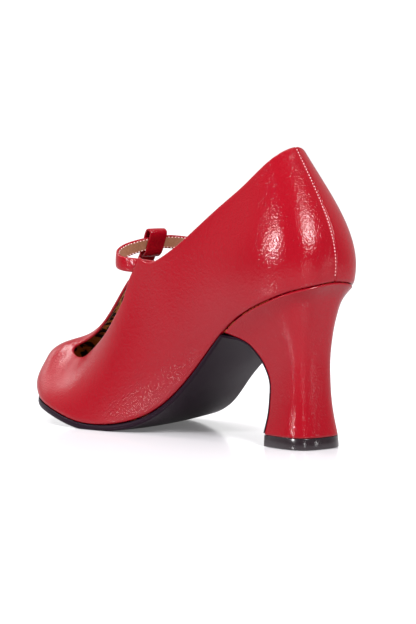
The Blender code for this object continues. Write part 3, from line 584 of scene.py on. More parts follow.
# Patent leather: a clear polyurethane coat over red-dyed cloth. Glazing leaves the coat crazed with
# fine wrinkles, so a lamp's reflection breaks into short bright strokes. They are drawn a millimetre
# apart, a little coarser than the real ones, so that they show.
patent, tree, shader, place = surface("crinkle_patent_leather")
WRINKLE = 0.0010
SWELLS_A_METRE = 38.0
TONES_A_METRE = 22.0
bent = wandering(tree, place, 0.35 / WRINKLE, WRINKLE * 1.6)
cells = add(tree, "ShaderNodeTexVoronoi", {"Vector": bent, "Scale": 1 / WRINKLE}, feature="SMOOTH_F1")
fine = add(tree, "ShaderNodeTexNoise", {"Vector": bent, "Scale": 1.2 / WRINKLE, "Detail": 3.0,
                                        "Roughness": 0.55})
relief = add(tree, "ShaderNodeMath", {0: cells.outputs["Distance"], 1: fine.outputs["Fac"]},
             operation="ADD")
wrinkled = add(tree, "ShaderNodeBump", {"Strength": 0.62, "Distance": 0.00022, "Height": relief.outputs[0]})
swell = add(tree, "ShaderNodeTexNoise", {"Vector": place, "Scale": SWELLS_A_METRE, "Detail": 1.0})
waved = add(tree, "ShaderNodeBump", {"Strength": 0.04, "Distance": 0.0008, "Height": swell.outputs["Fac"],
                                     "Normal": wrinkled.outputs["Normal"]})
tone = add(tree, "ShaderNodeTexNoise", {"Vector": place, "Scale": TONES_A_METRE, "Detail": 2.0})
dye = add(tree, "ShaderNodeMix", {"Factor": tone.outputs["Fac"], "A": linear("#740310"),
                                  "B": linear("#7C0513")}, data_type="RGBA")
feed(tree, shader, {"Base Color": dye.outputs["Result"], "Roughness": 0.5, "Specular IOR Level": 0.0,
                    "Coat Weight": 0.42, "Coat Roughness": 0.08, "Normal": waved.outputs["Normal"],
                    "Coat Normal": waved.outputs["Normal"]})

# Lining: satin-faced cotton printed with a common leopard pattern, broken dark rosettes about 8 mm
# across on amber. The weave shows only as a soft grain.
leopard, tree, shader, place = surface("leopard_print_cloth")
ROSETTE = 0.0085
THREADS_A_METRE = 2600.0
bent = wandering(tree, place, 0.9 / ROSETTE, ROSETTE * 1.1)
cells = add(tree, "ShaderNodeTexVoronoi", {"Vector": bent, "Scale": 1 / ROSETTE, "Randomness": 0.75})
broken = add(tree, "ShaderNodeTexNoise", {"Vector": place, "Scale": 2.1 / ROSETTE, "Detail": 2.0})
ring = add(tree, "ShaderNodeValToRGB", {"Fac": cells.outputs["Distance"]})
stops = ring.color_ramp.elements
stops[0].position = 0.10
stops[0].color = (0, 0, 0, 1)
stops[1].position = 0.16
stops[1].color = (1, 1, 1, 1)
for position, value in ((0.54, 1), (0.60, 0)):
    stops.new(position).color = (value, value, value, 1)
gaps = add(tree, "ShaderNodeMath", {0: broken.outputs["Fac"], 1: 0.43}, operation="GREATER_THAN")
spots = add(tree, "ShaderNodeMath", {0: ring.outputs["Color"], 1: gaps.outputs[0]}, operation="MULTIPLY")
heart = add(tree, "ShaderNodeMath", {0: cells.outputs["Distance"], 1: 0.22}, operation="LESS_THAN")
ground = add(tree, "ShaderNodeMix", {"Factor": heart.outputs[0], "A": linear("#B4763A"),
                                     "B": linear("#84491C")}, data_type="RGBA")
print_tone = add(tree, "ShaderNodeMix", {"Factor": spots.outputs[0], "A": ground.outputs["Result"],
                                         "B": linear("#150B08")}, data_type="RGBA")
weave = add(tree, "ShaderNodeTexNoise", {"Vector": place, "Scale": THREADS_A_METRE, "Detail": 1.0})
woven = add(tree, "ShaderNodeBump", {"Strength": 0.25, "Distance": 0.0001, "Height": weave.outputs["Fac"]})
feed(tree, shader, {"Base Color": print_tone.outputs["Result"], "Roughness": 0.62,
                    "Specular IOR Level": 0.08, "Normal": woven.outputs["Normal"]})


def make_piece(name, points, faces, looks, look_of=None):
    """A mesh object in the frame's place, smooth, with a look for each face."""
    mesh = bpy.data.meshes.new(name)
    mesh.from_pydata((np.asarray(points) + TO_FRAME).tolist(), [], [list(face) for face in faces])
    for look in looks:
        mesh.materials.append(look)
    if look_of is not None:
        mesh.polygons.foreach_set("material_index", np.asarray(look_of, np.int32))
    mesh.shade_smooth()
    mesh.update()
    piece = bpy.data.objects.new(name, mesh)
    bpy.context.scene.collection.objects.link(piece)
    return piece


points, faces, sheet, lined = upper_mesh()
look_of = np.zeros(len(faces), int)
look_of[sheet + lined[0]:sheet + lined[1]] = 1
upper = make_piece("lasted_upper", points, faces, [patent, leopard], look_of)
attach(upper, "root")
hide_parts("upper")

# Back seam stitches: spun polyester thread in a pale pink, laid beside the groove and sunk in halfway.
# It is drawn 1.7 mm a stitch, coarser than sewn, so that each stitch still shows.
SEAM_PITCH = 0.0017
SEAM_SHARE = 0.45
SEAM_THREAD = 0.00045
SEAM_BESIDE = 0.0034
SEAM_ENDS = (0.06, 0.985)
TWISTS_A_METRE = 3500.0
thread, tree, shader, place = surface("spun_polyester_thread")
ply = add(tree, "ShaderNodeTexNoise", {"Vector": place, "Scale": TWISTS_A_METRE, "Detail": 1.0})
shade = add(tree, "ShaderNodeMix", {"Factor": ply.outputs["Fac"], "A": linear("#E3A3A6"),
                                    "B": linear("#FBDCDC")}, data_type="RGBA")
feed(tree, shader, {"Base Color": shade.outputs["Result"], "Roughness": 0.45})

stitching = bpy.data.node_groups.new("stitch_row", "GeometryNodeTree")
stitching.interface.new_socket(name="Row", in_out="INPUT", socket_type="NodeSocketGeometry")
for name in ("Pitch", "Stitch Length", "Stitch Width"):
    stitching.interface.new_socket(name=name, in_out="INPUT", socket_type="NodeSocketFloat")
stitching.interface.new_socket(name="Thread", in_out="INPUT", socket_type="NodeSocketMaterial")
stitching.interface.new_socket(name="Stitches", in_out="OUTPUT", socket_type="NodeSocketGeometry")
given = add(stitching, "NodeGroupInput").outputs
seam_curve = add(stitching, "GeometryNodeMeshToCurve", {"Mesh": given["Row"]})
spaced = add(stitching, "GeometryNodeResampleCurve", {"Curve": seam_curve.outputs["Curve"],
                                                      "Length": given["Pitch"]}, mode="LENGTH")
along_row = add(stitching, "GeometryNodeInputTangent")
outward = add(stitching, "GeometryNodeInputNamedAttribute", {"Name": "outward"}, data_type="FLOAT_VECTOR")
lengthwise = add(stitching, "FunctionNodeAlignRotationToVector", {"Vector": along_row.outputs["Tangent"]},
                 axis="X")
upright = add(stitching, "FunctionNodeAlignRotationToVector",
              {"Rotation": lengthwise.outputs["Rotation"], "Vector": outward.outputs["Attribute"]},
              axis="Z", pivot_axis="X")
loop_shape = add(stitching, "GeometryNodeMeshUVSphere", {"Segments": 8, "Rings": 6, "Radius": 0.5})
smooth = add(stitching, "GeometryNodeSetShadeSmooth", {"Geometry": loop_shape.outputs["Mesh"]})
size = add(stitching, "ShaderNodeCombineXYZ", {"X": given["Stitch Length"], "Y": given["Stitch Width"],
                                               "Z": given["Stitch Width"]})
laid = add(stitching, "GeometryNodeInstanceOnPoints",
           {"Points": spaced.outputs["Curve"], "Instance": smooth.outputs["Geometry"],
            "Rotation": upright.outputs["Rotation"], "Scale": size.outputs["Vector"]})
real = add(stitching, "GeometryNodeRealizeInstances", {"Geometry": laid.outputs["Instances"]})
threaded = add(stitching, "GeometryNodeSetMaterial", {"Geometry": real.outputs["Geometry"],
                                                      "Material": given["Thread"]})
add(stitching, "NodeGroupOutput", {"Stitches": threaded.outputs["Geometry"]})


def stitch_row(name, line, out, pitch, length, width, look):
    """Stitches laid along a line on a surface, each half sunk in it, as one mesh."""
    row = bpy.data.meshes.new(name + "_line")
    row.from_pydata((np.asarray(line) + TO_FRAME).tolist(), [(i, i + 1) for i in range(len(line) - 1)], [])
    facing = row.attributes.new("outward", "FLOAT_VECTOR", "POINT")
    facing.data.foreach_set("vector", np.asarray(out, np.float32).ravel())
    piece = bpy.data.objects.new(name, row)
    bpy.context.scene.collection.objects.link(piece)
    modifier = piece.modifiers.new("stitches", "NODES")
    modifier.node_group = stitching
    sockets = {item.name: item.identifier for item in stitching.interface.items_tree}
    for socket, value in (("Pitch", pitch), ("Stitch Length", length), ("Stitch Width", width),
                          ("Thread", look)):
        modifier[sockets[socket]] = value
    graph = bpy.context.evaluated_depsgraph_get()
    made = bpy.data.meshes.new_from_object(piece.evaluated_get(graph))
    piece.modifiers.remove(modifier)
    piece.data = made
    return piece


levels = np.linspace(*SEAM_ENDS, 60)
beside = np.full(len(levels), SEAM_BESIDE)
seam_top = line_level(TOP_CURVE, beside, TOPLINE_CEILING)
row = last_point(beside, levels * seam_top)
out = last_normal(beside, levels * seam_top)
seam = stitch_row("back_seam_stitches", row, out, SEAM_PITCH, SEAM_PITCH * SEAM_SHARE, SEAM_THREAD, thread)
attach(seam, "root")

# Insole sock: thin foam under the same printed cloth, cut a little smaller than the last's bottom and
# glued in, so its edge shows as a soft round lip.
SOCK_THICK = 0.0012
SOCK_MARGIN = 0.0011
SOCK_ENDS = (0.985, 0.025)
BELLY = np.array([(0.20, 0), (0.30, 0), (0.45, 0.2), (0.60, 0.8), (0.72, 1.0), (0.85, 0.7), (1.0, 0)])
BELLY_DEPTH = 0.0017
BELLY_CURVE = Curve(BELLY[:, 0] * LENGTH, BELLY[:, 1] * BELLY_DEPTH)


def belly(y):
    """How far the last's bottom hangs below its edges in the middle."""
    return np.clip(BELLY_CURVE(y)[0][:, 0], 0, None)


def grid_faces(rows, columns):
    """Quads of a sheet of rows by columns points."""
    a = (np.arange(rows - 1)[:, None] * columns + np.arange(columns - 1)).ravel()
    return [tuple(face) for face in np.column_stack([a, a + 1, a + columns + 1, a + columns]).tolist()]


def sock_sheets():
    """Top and bottom of the sock, in rows from the toe to the heel."""
    u = spread(*SOCK_ENDS, 110, 0.6)
    columns = 25
    ends = []
    for side in (u, 2 - u):
        out = last_normal(side, 0.0)
        out[:, 2] = 0
        out /= np.linalg.norm(out, axis=1)[:, None]
        ends.append(last_point(side, 0.0) - out * (WALL + SOCK_MARGIN))
    places = spread(0, 1, columns, 0.9)[None, :, None]
    floor = ends[0][:, None] * (1 - places) + ends[1][:, None] * places
    floor[:, :, 2] -= belly(ends[0][:, 1])[:, None] * 4 * (places * (1 - places))[:, :, 0]
    floor = floor.reshape(-1, 3)
    return floor + (0, 0, SOCK_THICK), floor, len(u), columns


top, bottom, rows, columns = sock_sheets()
faces = [tuple(reversed(face)) for face in grid_faces(rows, columns)]
points, faces = rolled_shell(top, bottom, faces, np.zeros(len(top), bool), 4)
sock = make_piece("insole_sock", points, faces, [leopard])
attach(sock, "root")
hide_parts("insole")

# Heel: a moulded block, 80 mm tall, waisted and flared, covered in the same patent leather. The cover's
# upper edge is turned in under the quarters, where a dark seam line and its rolled edge show.
HEEL_PROFILE = np.array([
    # down the heel, how far the seat still spreads it, flare to the base
    (0.00, 1.00, 0.00), (0.07, 0.60, 0.00), (0.15, 0.37, 0.00), (0.25, 0.20, 0.00), (0.37, 0.07, 0.00),
    (0.50, 0.00, 0.00), (0.62, 0.00, 0.03), (0.75, 0.00, 0.18), (0.87, 0.00, 0.50), (1.00, 0.00, 1.00),
])
BREAST = 0.266
COVER_ROUND = 0.0008
HEEL_TOP = 0.0065
HEEL_BEND = 0.16
HEEL_FOOT = 0.997


def heel_rings(levels, count):
    """Inner half of the heel at levels from the seat (0) to the top-lift (1)."""
    seat = last_point(spread(0, place_at(1, BREAST), count), 0.0)
    seat[:, 2] -= GAP
    profile, _ = Curve(HEEL_PROFILE[:, 0], HEEL_PROFILE[:, 1:])(levels)
    waist = heel_outline(1.0, count)
    foot = LIFT_HEIGHT + GAP
    rings = []
    for level, (hold, flare) in zip(levels, profile):
        section = heel_outline(1 + (HEEL_FLARE - 1) * flare, count)
        plan = section + (seat[:, :2] - waist) * hold
        z = seat[:, 2] + (foot - seat[:, 2]) * level
        rings.append(np.column_stack([plan, z]))
    return np.array(rings)


def paired_solid(rings):
    """A solid from half rings and their mirror images, with caps and a front face."""
    count = rings.shape[1]
    points = []
    for ring in rings:
        points += list(ring) + list(ring[:0:-1] * (-1, 1, 1))
    size = 2 * count - 1
    faces = []
    for r in range(len(rings) - 1):
        for k in range(size):
            n = (k + 1) % size
            faces.append((r * size + k, r * size + n, (r + 1) * size + n, (r + 1) * size + k))
    for base, flip in ((0, False), ((len(rings) - 1) * size, True)):
        cap = [(base + 1, base, base + size - 1)]
        for k in range(1, count - 1):
            cap.append((base + k + 1, base + k, base + size - k, base + size - k - 1))
        faces += [tuple(reversed(face)) if flip else face for face in cap]
    return np.array(points), faces


def rolled_in(rings, which, shares):
    """The end ring given again as a rolled edge: each share steps it inwards and towards the end."""
    ring = rings[which]
    middle = ring.mean(axis=0) * (0, 1, 1)
    inward = middle - ring
    inward[:, 2] = 0
    inward /= np.linalg.norm(inward, axis=1)[:, None]
    rolled = []
    for share in shares:
        angle = share * math.pi / 2
        step = ring + inward * COVER_ROUND * (1 - math.cos(angle))
        step[:, 2] += COVER_ROUND * math.sin(angle) * (1 if which == 0 else -1)
        rolled.append(step)
    return rolled


levels = np.concatenate([spread(HEEL_TOP, HEEL_BEND, 18), spread(HEEL_BEND, HEEL_FOOT, 58)[1:]])
rings = heel_rings(levels, HEEL_COLUMNS)
top_edge = rolled_in(rings, 0, (1.0, 0.8, 0.6, 0.4, 0.2))
rings = np.concatenate([np.array(top_edge), rings])
points, faces = paired_solid(rings)
heel = make_piece("covered_heel", points, faces, [patent])
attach(heel, "root")
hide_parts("heel")

# Top-lift: injection-moulded black plastic with a high gloss, under 6 mm thick, pinned under the heel.
# Its wall is a little proud of the cover, and its edges are softened by the mould.
black_plastic, tree, shader, place = surface("moulded_black_plastic")
FLOW_MARKS_A_METRE = 260.0
flow = add(tree, "ShaderNodeTexNoise", {"Vector": place, "Scale": FLOW_MARKS_A_METRE, "Detail": 2.0})
gloss = add(tree, "ShaderNodeMapRange", {"Value": flow.outputs["Fac"], "To Min": 0.14, "To Max": 0.26})
skin = add(tree, "ShaderNodeBump", {"Strength": 0.06, "Distance": 0.0002, "Height": flow.outputs["Fac"]})
feed(tree, shader, {"Base Color": linear("#15080F"), "Roughness": gloss.outputs["Result"],
                    "Normal": skin.outputs["Normal"]})
LIFT_EDGE = 0.0004
LIFT_TOP = LIFT_HEIGHT + GAP * 0.8
LIFT_ROWS = (
    # height, spread, and how far the rounded edge is drawn in
    (LIFT_TOP, 1.0, LIFT_EDGE * 0.5),
    (LIFT_TOP - LIFT_EDGE * 0.2, 1.0, LIFT_EDGE * 0.15),
    (LIFT_TOP - LIFT_EDGE * 0.5, 1.0, 0),
    (LIFT_HEIGHT * 0.5, 1.012, 0),
    (LIFT_EDGE, LIFT_SPREAD, 0),
    (LIFT_EDGE * 0.4, LIFT_SPREAD, LIFT_EDGE * 0.3),
    (0.0, LIFT_SPREAD, LIFT_EDGE),
)
rings = []
for z, grow, inset in LIFT_ROWS:
    outline = heel_outline(HEEL_FLARE * grow, HEEL_COLUMNS)
    centre = np.array([0, outline[:, 1].mean()])
    toward = centre - outline
    outline = outline + toward / np.linalg.norm(toward, axis=1)[:, None] * inset
    outline[0, 0] = 0
    rings.append(np.column_stack([outline, np.full(HEEL_COLUMNS, z)]))
points, faces = paired_solid(np.array(rings))
lift = make_piece("moulded_top_lift", points, faces, [black_plastic])
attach(lift, "root")
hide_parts("top_lift")

# Outsole: a sheet of black rubber, 3 mm at the forepart, skived thin at the waist and glued down the
# heel's breast to the top-lift. Its sides are trimmed flush and its lower edge is buffed round.
SOLE_ROWS = ((0.28, 0.0013), (0.45, 0.0022), (0.60, 0.0032), (1.0, 0.0032))
FLAP_THICK = 0.0013
SOLE_ROUND = 0.0009
TOE_START = 0.998
BREAST_STEP = 0.010
SOLE_EASE = 0.75
FLAP_ENDS = (0.05, 0.28, 0.985)
rubber, tree, shader, place = surface("buffed_black_rubber")
GRIT = 0.0005
CLOUDS_A_METRE = 45.0
grit = add(tree, "ShaderNodeTexNoise", {"Vector": place, "Scale": 1 / GRIT, "Detail": 3.0})
cloud = add(tree, "ShaderNodeTexNoise", {"Vector": place, "Scale": CLOUDS_A_METRE, "Detail": 3.0})
satin = add(tree, "ShaderNodeMapRange", {"Value": cloud.outputs["Fac"], "To Min": 0.36, "To Max": 0.50})
buffed = add(tree, "ShaderNodeBump", {"Strength": 0.12, "Distance": 0.00012, "Height": grit.outputs["Fac"]})
shade = add(tree, "ShaderNodeMix", {"Factor": cloud.outputs["Fac"], "A": linear("#130711"),
                                    "B": linear("#1A0B16")}, data_type="RGBA")
feed(tree, shader, {"Base Color": shade.outputs["Result"], "Roughness": satin.outputs["Result"],
                    "Specular IOR Level": 0.06, "Normal": buffed.outputs["Normal"]})


def outsole_mesh():
    """The sole's sheet, in rows from the toe to the breast line and then down the heel's breast."""
    u = spread(TOE_START, place_at(1, BREAST + BREAST_STEP), 150, SOLE_EASE)
    left = last_point(u, 0.0)
    right = last_point(2 - u, 0.0)
    hang = belly(left[:, 1])
    start, bend, foot = FLAP_ENDS
    flap = heel_rings(np.concatenate([spread(start, bend, 14), spread(bend, foot, 26)[1:]]), 15)[:, -1]
    left = np.vstack([left, flap])
    right = np.vstack([right, flap * (-1, 1, 1)])
    hang = np.append(hang, np.zeros(len(flap)))
    centre = (left + right) / 2
    tangent = np.gradient(centre[:, 1:], axis=0)
    tangent /= np.linalg.norm(tangent, axis=1)[:, None]
    down = np.column_stack([0 * tangent[:, 0], -tangent[:, 1], tangent[:, 0]])
    down[0] = (0, 0, -1)
    thick = np.interp(centre[:, 1] / LENGTH, *zip(*SOLE_ROWS))
    thick[len(u):] = FLAP_THICK
    width = np.linalg.norm(right - left, axis=1)
    columns = 29
    top = []
    bottom = []
    for place in spread(0, 1, columns, 0.93):
        point = left + (right - left) * place + down * GAP
        point[:, 2] -= hang * 4 * place * (1 - place)
        edge = np.clip(1 - np.minimum(place, 1 - place) * width / SOLE_ROUND, 0, 1)
        lost = SOLE_ROUND * np.minimum(1, thick / SOLE_ROUND * 0.6) * (1 - np.sqrt(1 - edge**2))
        under = point + down * (thick - lost)[:, None]
        under[:, 2] = np.maximum(under[:, 2], 0)
        top.append(point)
        bottom.append(under)
    top = np.array(top).transpose(1, 0, 2).reshape(-1, 3)
    bottom = np.array(bottom).transpose(1, 0, 2).reshape(-1, 3)
    faces = grid_faces(len(left), columns)
    return rolled_shell(bottom, top, faces, np.ones(len(top), bool), 2)


points, faces = outsole_mesh()
sole = make_piece("rubber_outsole", points, faces, [rubber])
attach(sole, "root")
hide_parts("outsole")

# Instep strap: a narrow band of the patent leather, folded round a tan lining and stitched along both
# edges. It comes from inside the inner quarter, through the T-bar's loop and down the outer quarter.
STRAP_ROUTE = np.array([
    # across, along and up from the T-bar's middle, and how much of the wall's lean it keeps
    (-0.348, -0.0362, -0.1051, 0.9), (-0.334, -0.0071, -0.0926, 0.7), (-0.284, 0.0121, -0.0697, 0.4),
    (-0.213, 0.0183, -0.0446, 0.2), (-0.135, 0.0152, -0.0240, 0.1), (-0.058, 0.0067, -0.0091, 0.0),
    (0.000, 0.0000, 0.0000, 0.0), (0.103, -0.0129, 0.0034, 0.0), (0.215, -0.0330, -0.0103, 0.4),
    (0.330, -0.0600, -0.0331, 0.8),
])
STRAP_START = ((0.1161, 0.0069), (0.0760, 0.0046), (0.0340, 0.0023))
STRAP_END = ((0.0424, 0.0411), (0.0804, 0.0663), (0.1205, 0.0800), (0.1607, 0.0869), (0.1964, 0.0891))
STRAP_TIP = ((0, 1), (0.952, 1), (0.972, 0.90), (0.986, 0.66), (0.996, 0.34), (1, 0.05))
TAB_THICK = 0.0012
KEEPER_THICK = 0.0008
FACE_CROWN = 0.12


def wall_at(side, y, z):
    """A point of the last's side wall at a place along it and up, and its outward normal."""
    def level(u):
        def over(h):
            return last_point(u, h)[:, 2] - z
        return solve_rising(over, np.zeros(len(u)), np.full(len(u), 1.999))

    def over(u):
        return last_point(u, level(u))[:, 1] - y

    inner = solve_rising(over, [0.02], [0.95])
    place = inner if side < 0 else 2 - inner
    height = level(place)
    return last_point(place, height)[0], last_normal(place, height)[0]


def strap_route():
    """The strap's middle line, from inside the inner quarter to its tip on the outer one, and lean."""
    loop_y, loop_z = strap_centre()
    scale = (BALL_WIDTH, LENGTH, INSTEP_HEIGHT)
    middle = STRAP_ROUTE[:, :3] * scale + (0, loop_y, loop_z)
    inside = -(WALL + GAP + STRAP_THICK / 2 + GAP)
    outside = GAP + KEEPER_THICK + GAP + TAB_THICK + GAP + STRAP_THICK / 2
    route = []
    lean = []

    def along_wall(side, rows, first, offset):
        for on, drop in rows:
            point, normal = wall_at(side, first[1] - on * LENGTH, first[2] - drop * INSTEP_HEIGHT)
            route.append(point + normal * offset)
            lean.append(math.asin(normal[2]))

    along_wall(-1, STRAP_START, middle[0], inside)
    inner_lean = lean[-1]
    route.extend(middle)
    lean.extend([0.0] * len(middle))
    along_wall(1, STRAP_END, middle[-1], outside)
    outer_lean = lean[len(STRAP_START) + len(middle)]
    near = np.where(STRAP_ROUTE[:, 0] < 0, inner_lean, outer_lean)
    lean_here = LOOP_LEAN * np.clip(1 - (STRAP_ROUTE[:, 0] / LEAN_REACH)**2, 0, 1)
    lean[len(STRAP_START):-len(STRAP_END)] = STRAP_ROUTE[:, 3] * near + lean_here
    return np.array(route), np.array(lean)


def band_frames(route, lean, at):
    """Middle, along, across and face directions of a band standing on edge, at distances along it."""
    along = run_length(route)
    middle, tangent = Curve(along, route)(at)
    tangent /= np.linalg.norm(tangent, axis=1)[:, None]
    turn = np.interp(at, along, lean)[:, None]
    level = np.cross(tangent, (0, 0, 1))
    level /= np.linalg.norm(level, axis=1)[:, None]
    across = np.cross(level, tangent) * np.cos(turn) + level * np.sin(turn)
    return middle, tangent, across, np.cross(tangent, across)


def band_section(width, thick, count=9):
    """A folded band's section, across and through: rolled edges, a flat lined back, a crowned face."""
    radius = thick / 2
    points = []
    for place in np.linspace(-1, 1, count):
        points.append((place * (width / 2 - radius), -radius - FACE_CROWN * thick * (1 - place**2)))
    for angle in np.radians([-60, -30, 0, 30, 60]):
        points.append((width / 2 - radius + radius * math.cos(angle), radius * math.sin(angle)))
    lined = len(points)
    for place in np.linspace(1, -1, count):
        points.append((place * (width / 2 - radius), radius))
    for angle in np.radians([120, 150, 180, 210, 240]):
        points.append((-width / 2 + radius + radius * math.cos(angle), radius * math.sin(angle)))
    return np.array(points), range(lined, lined + count - 1)


def folded_band(name, route, lean, samples, width, thick, tip, face_look, back_look):
    """A band along a route as one solid, its back in the lining's look."""
    section, lined = band_section(width, thick)
    at = np.linspace(0, run_length(route)[-1], samples)
    middle, _, up, face = band_frames(route, lean, at)
    scale = np.interp(at / at[-1], *zip(*tip))
    size = len(section)
    points = middle[:, None] + section[None, :, :1] * scale[:, None, None] * up[:, None]
    points = (points + section[None, :, 1:] * face[:, None]).reshape(-1, 3)
    faces = []
    look_of = []
    for row in range(samples - 1):
        for k in range(size):
            n = (k + 1) % size
            faces.append((row * size + k, row * size + n, (row + 1) * size + n, (row + 1) * size + k))
            look_of.append(1 if k in lined else 0)
    faces += [tuple(range(size - 1, -1, -1)), tuple(range((samples - 1) * size, samples * size))]
    look_of += [0, 0]
    return make_piece(name, points, faces, [face_look, back_look], look_of)


# Strap lining: tan coated cloth, embossed with pores about 0.6 mm apart, which leave it dull and a
# little mottled beside the patent.
tan, tree, shader, place = surface("tan_faux_leather")
PORE = 0.0006
grain = add(tree, "ShaderNodeTexVoronoi", {"Vector": place, "Scale": 1 / PORE}, feature="SMOOTH_F1")
pores = add(tree, "ShaderNodeTexNoise", {"Vector": place, "Scale": 0.6 / PORE, "Detail": 4.0})
both = add(tree, "ShaderNodeMath", {0: grain.outputs["Distance"], 1: pores.outputs["Fac"]}, operation="ADD")
dimpled = add(tree, "ShaderNodeBump", {"Strength": 0.35, "Distance": 0.00012, "Height": both.outputs[0]})
shade = add(tree, "ShaderNodeMix", {"Factor": pores.outputs["Fac"], "A": linear("#74462F"),
                                    "B": linear("#996A52")}, data_type="RGBA")
feed(tree, shader, {"Base Color": shade.outputs["Result"], "Roughness": 0.55,
                    "Normal": dimpled.outputs["Normal"]})

route, lean = strap_route()
strap = folded_band("instep_strap", route, lean, 420, STRAP_WIDTH, STRAP_THICK, STRAP_TIP, patent, tan)
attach(strap, "root")
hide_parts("strap")

# Strap stitches: the same thread along both edges of the lining, holding it to the folded patent.
# They are drawn 1.8 mm a stitch, and stop short of the strap's two ends.
STRAP_PITCH = 0.0018
STRAP_SHARE = 0.5
STRAP_THREAD = 0.0005
STITCH_EDGE = 0.0009
STITCH_ENDS = (0.012, 0.010)
at = np.linspace(STITCH_ENDS[0], run_length(route)[-1] - STITCH_ENDS[1], 160)
middle, _, up, face = band_frames(route, lean, at)
for name, side in (("strap_stitches_upper", 1), ("strap_stitches_lower", -1)):
    row = middle + up * side * (STRAP_WIDTH / 2 - STITCH_EDGE) + face * STRAP_THICK / 2
    stitches = stitch_row(name, row, face, STRAP_PITCH, STRAP_PITCH * STRAP_SHARE, STRAP_THREAD,
                          thread)
    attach(stitches, "root")

# Buckle: nickel-plated wire bent to a rounded rectangle, with a straight prong across it. Mirror-bright
# plating, with the faint waviness of tumbled wire.
BUCKLE_LENGTH = 0.0120
BUCKLE_WIRE = 0.0017
BUCKLE_CORNER = 0.0022
BUCKLE_SPARE = 0.0012
BUCKLE_PLACE = 0.0255
PRONG_WIRE = 0.0014
PRONG_SHARE = 0.55
nickel, tree, shader, place = surface("nickel_plated_wire")
WAVES_A_METRE = 900.0
wave = add(tree, "ShaderNodeTexNoise", {"Vector": place, "Scale": WAVES_A_METRE, "Detail": 2.0})
rough = add(tree, "ShaderNodeMapRange", {"Value": wave.outputs["Fac"], "To Min": 0.10, "To Max": 0.20})
uneven = add(tree, "ShaderNodeBump", {"Strength": 0.05, "Distance": 0.0001, "Height": wave.outputs["Fac"]})
feed(tree, shader, {"Base Color": linear("#D9D6D0"), "Metallic": 1.0,
                    "Roughness": rough.outputs["Result"], "Normal": uneven.outputs["Normal"]})


def on_strap(distance, outward):
    """A place over the outer leg of the strap, and the along, outward and up directions there."""
    at = np.array([run_length(route)[-1] - distance])
    middle, tangent, up, face = (value[0] for value in band_frames(route, lean, at))
    return middle - face * outward, tangent, -face, up


def rounded_ring(centre, along, up, half_along, half_up, corner, steps):
    """A rounded rectangle round a centre, and the way out of it at each of its points."""
    path = []
    facing = []
    for quarter, (a, b) in enumerate(((1, 1), (-1, 1), (-1, -1), (1, -1))):
        middle = centre + along * a * (half_along - corner) + up * b * (half_up - corner)
        for angle in math.pi / 2 * (quarter + np.linspace(0, 1, steps)):
            facing.append(along * math.cos(angle) + up * math.sin(angle))
            path.append(middle + facing[-1] * corner)
    return path, facing


def wire(name, path, radius, look, closed, sides=20):
    """A round wire along a path as one solid, closed on itself or with domed ends."""
    path = np.asarray(path)
    if closed:
        tangent = np.roll(path, -1, axis=0) - np.roll(path, 1, axis=0)
    else:
        tangent = np.gradient(path, axis=0)
    tangent /= np.linalg.norm(tangent, axis=1)[:, None]
    plane = np.cross(path[1] - path[0], path[len(path) // 3] - path[0]) if closed else np.array([0, 0, 1.0])
    side = np.cross(tangent, plane)
    side /= np.linalg.norm(side, axis=1)[:, None]
    other = np.cross(tangent, side)
    size = np.full(len(path), radius)
    if not closed:
        reach = run_length(path)
        end = np.minimum(reach, reach[-1] - reach)
        size = radius * np.sqrt(1 - np.clip(1 - end / radius, 0, 0.995)**2)
    angle = np.linspace(0, 2 * math.pi, sides, endpoint=False)
    turn = np.cos(angle)[None, :, None] * side[:, None] + np.sin(angle)[None, :, None] * other[:, None]
    points = (path[:, None] + turn * size[:, None, None]).reshape(-1, 3)
    rows = len(path)
    faces = []
    for i in range(rows if closed else rows - 1):
        n = (i + 1) % rows
        for s in range(sides):
            t = (s + 1) % sides
            faces.append((i * sides + s, i * sides + t, n * sides + t, n * sides + s))
    if not closed:
        faces += [tuple(range(sides - 1, -1, -1)), tuple(range((rows - 1) * sides, rows * sides))]
    return make_piece(name, points, faces, [look])


centre, along, out, up = on_strap(BUCKLE_PLACE, STRAP_THICK / 2 + GAP + BUCKLE_WIRE / 2)
half_up = STRAP_WIDTH / 2 + BUCKLE_SPARE + BUCKLE_WIRE / 2
path, _ = rounded_ring(centre, along, up, BUCKLE_LENGTH / 2, half_up, BUCKLE_CORNER, 9)
buckle = wire("wire_buckle_frame", path, BUCKLE_WIRE / 2, nickel, True)
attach(buckle, "root")
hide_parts("buckle_frame")

centre, along, out, up = on_strap(BUCKLE_PLACE, STRAP_THICK / 2 + GAP + BUCKLE_WIRE + GAP + PRONG_WIRE / 2)
half = BUCKLE_LENGTH * PRONG_SHARE * np.sin(np.linspace(-math.pi / 2, math.pi / 2, 41))
prong = wire("wire_buckle_prong", centre + along * half[:, None], PRONG_WIRE / 2, nickel, False)
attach(prong, "root")
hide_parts("buckle_prong")

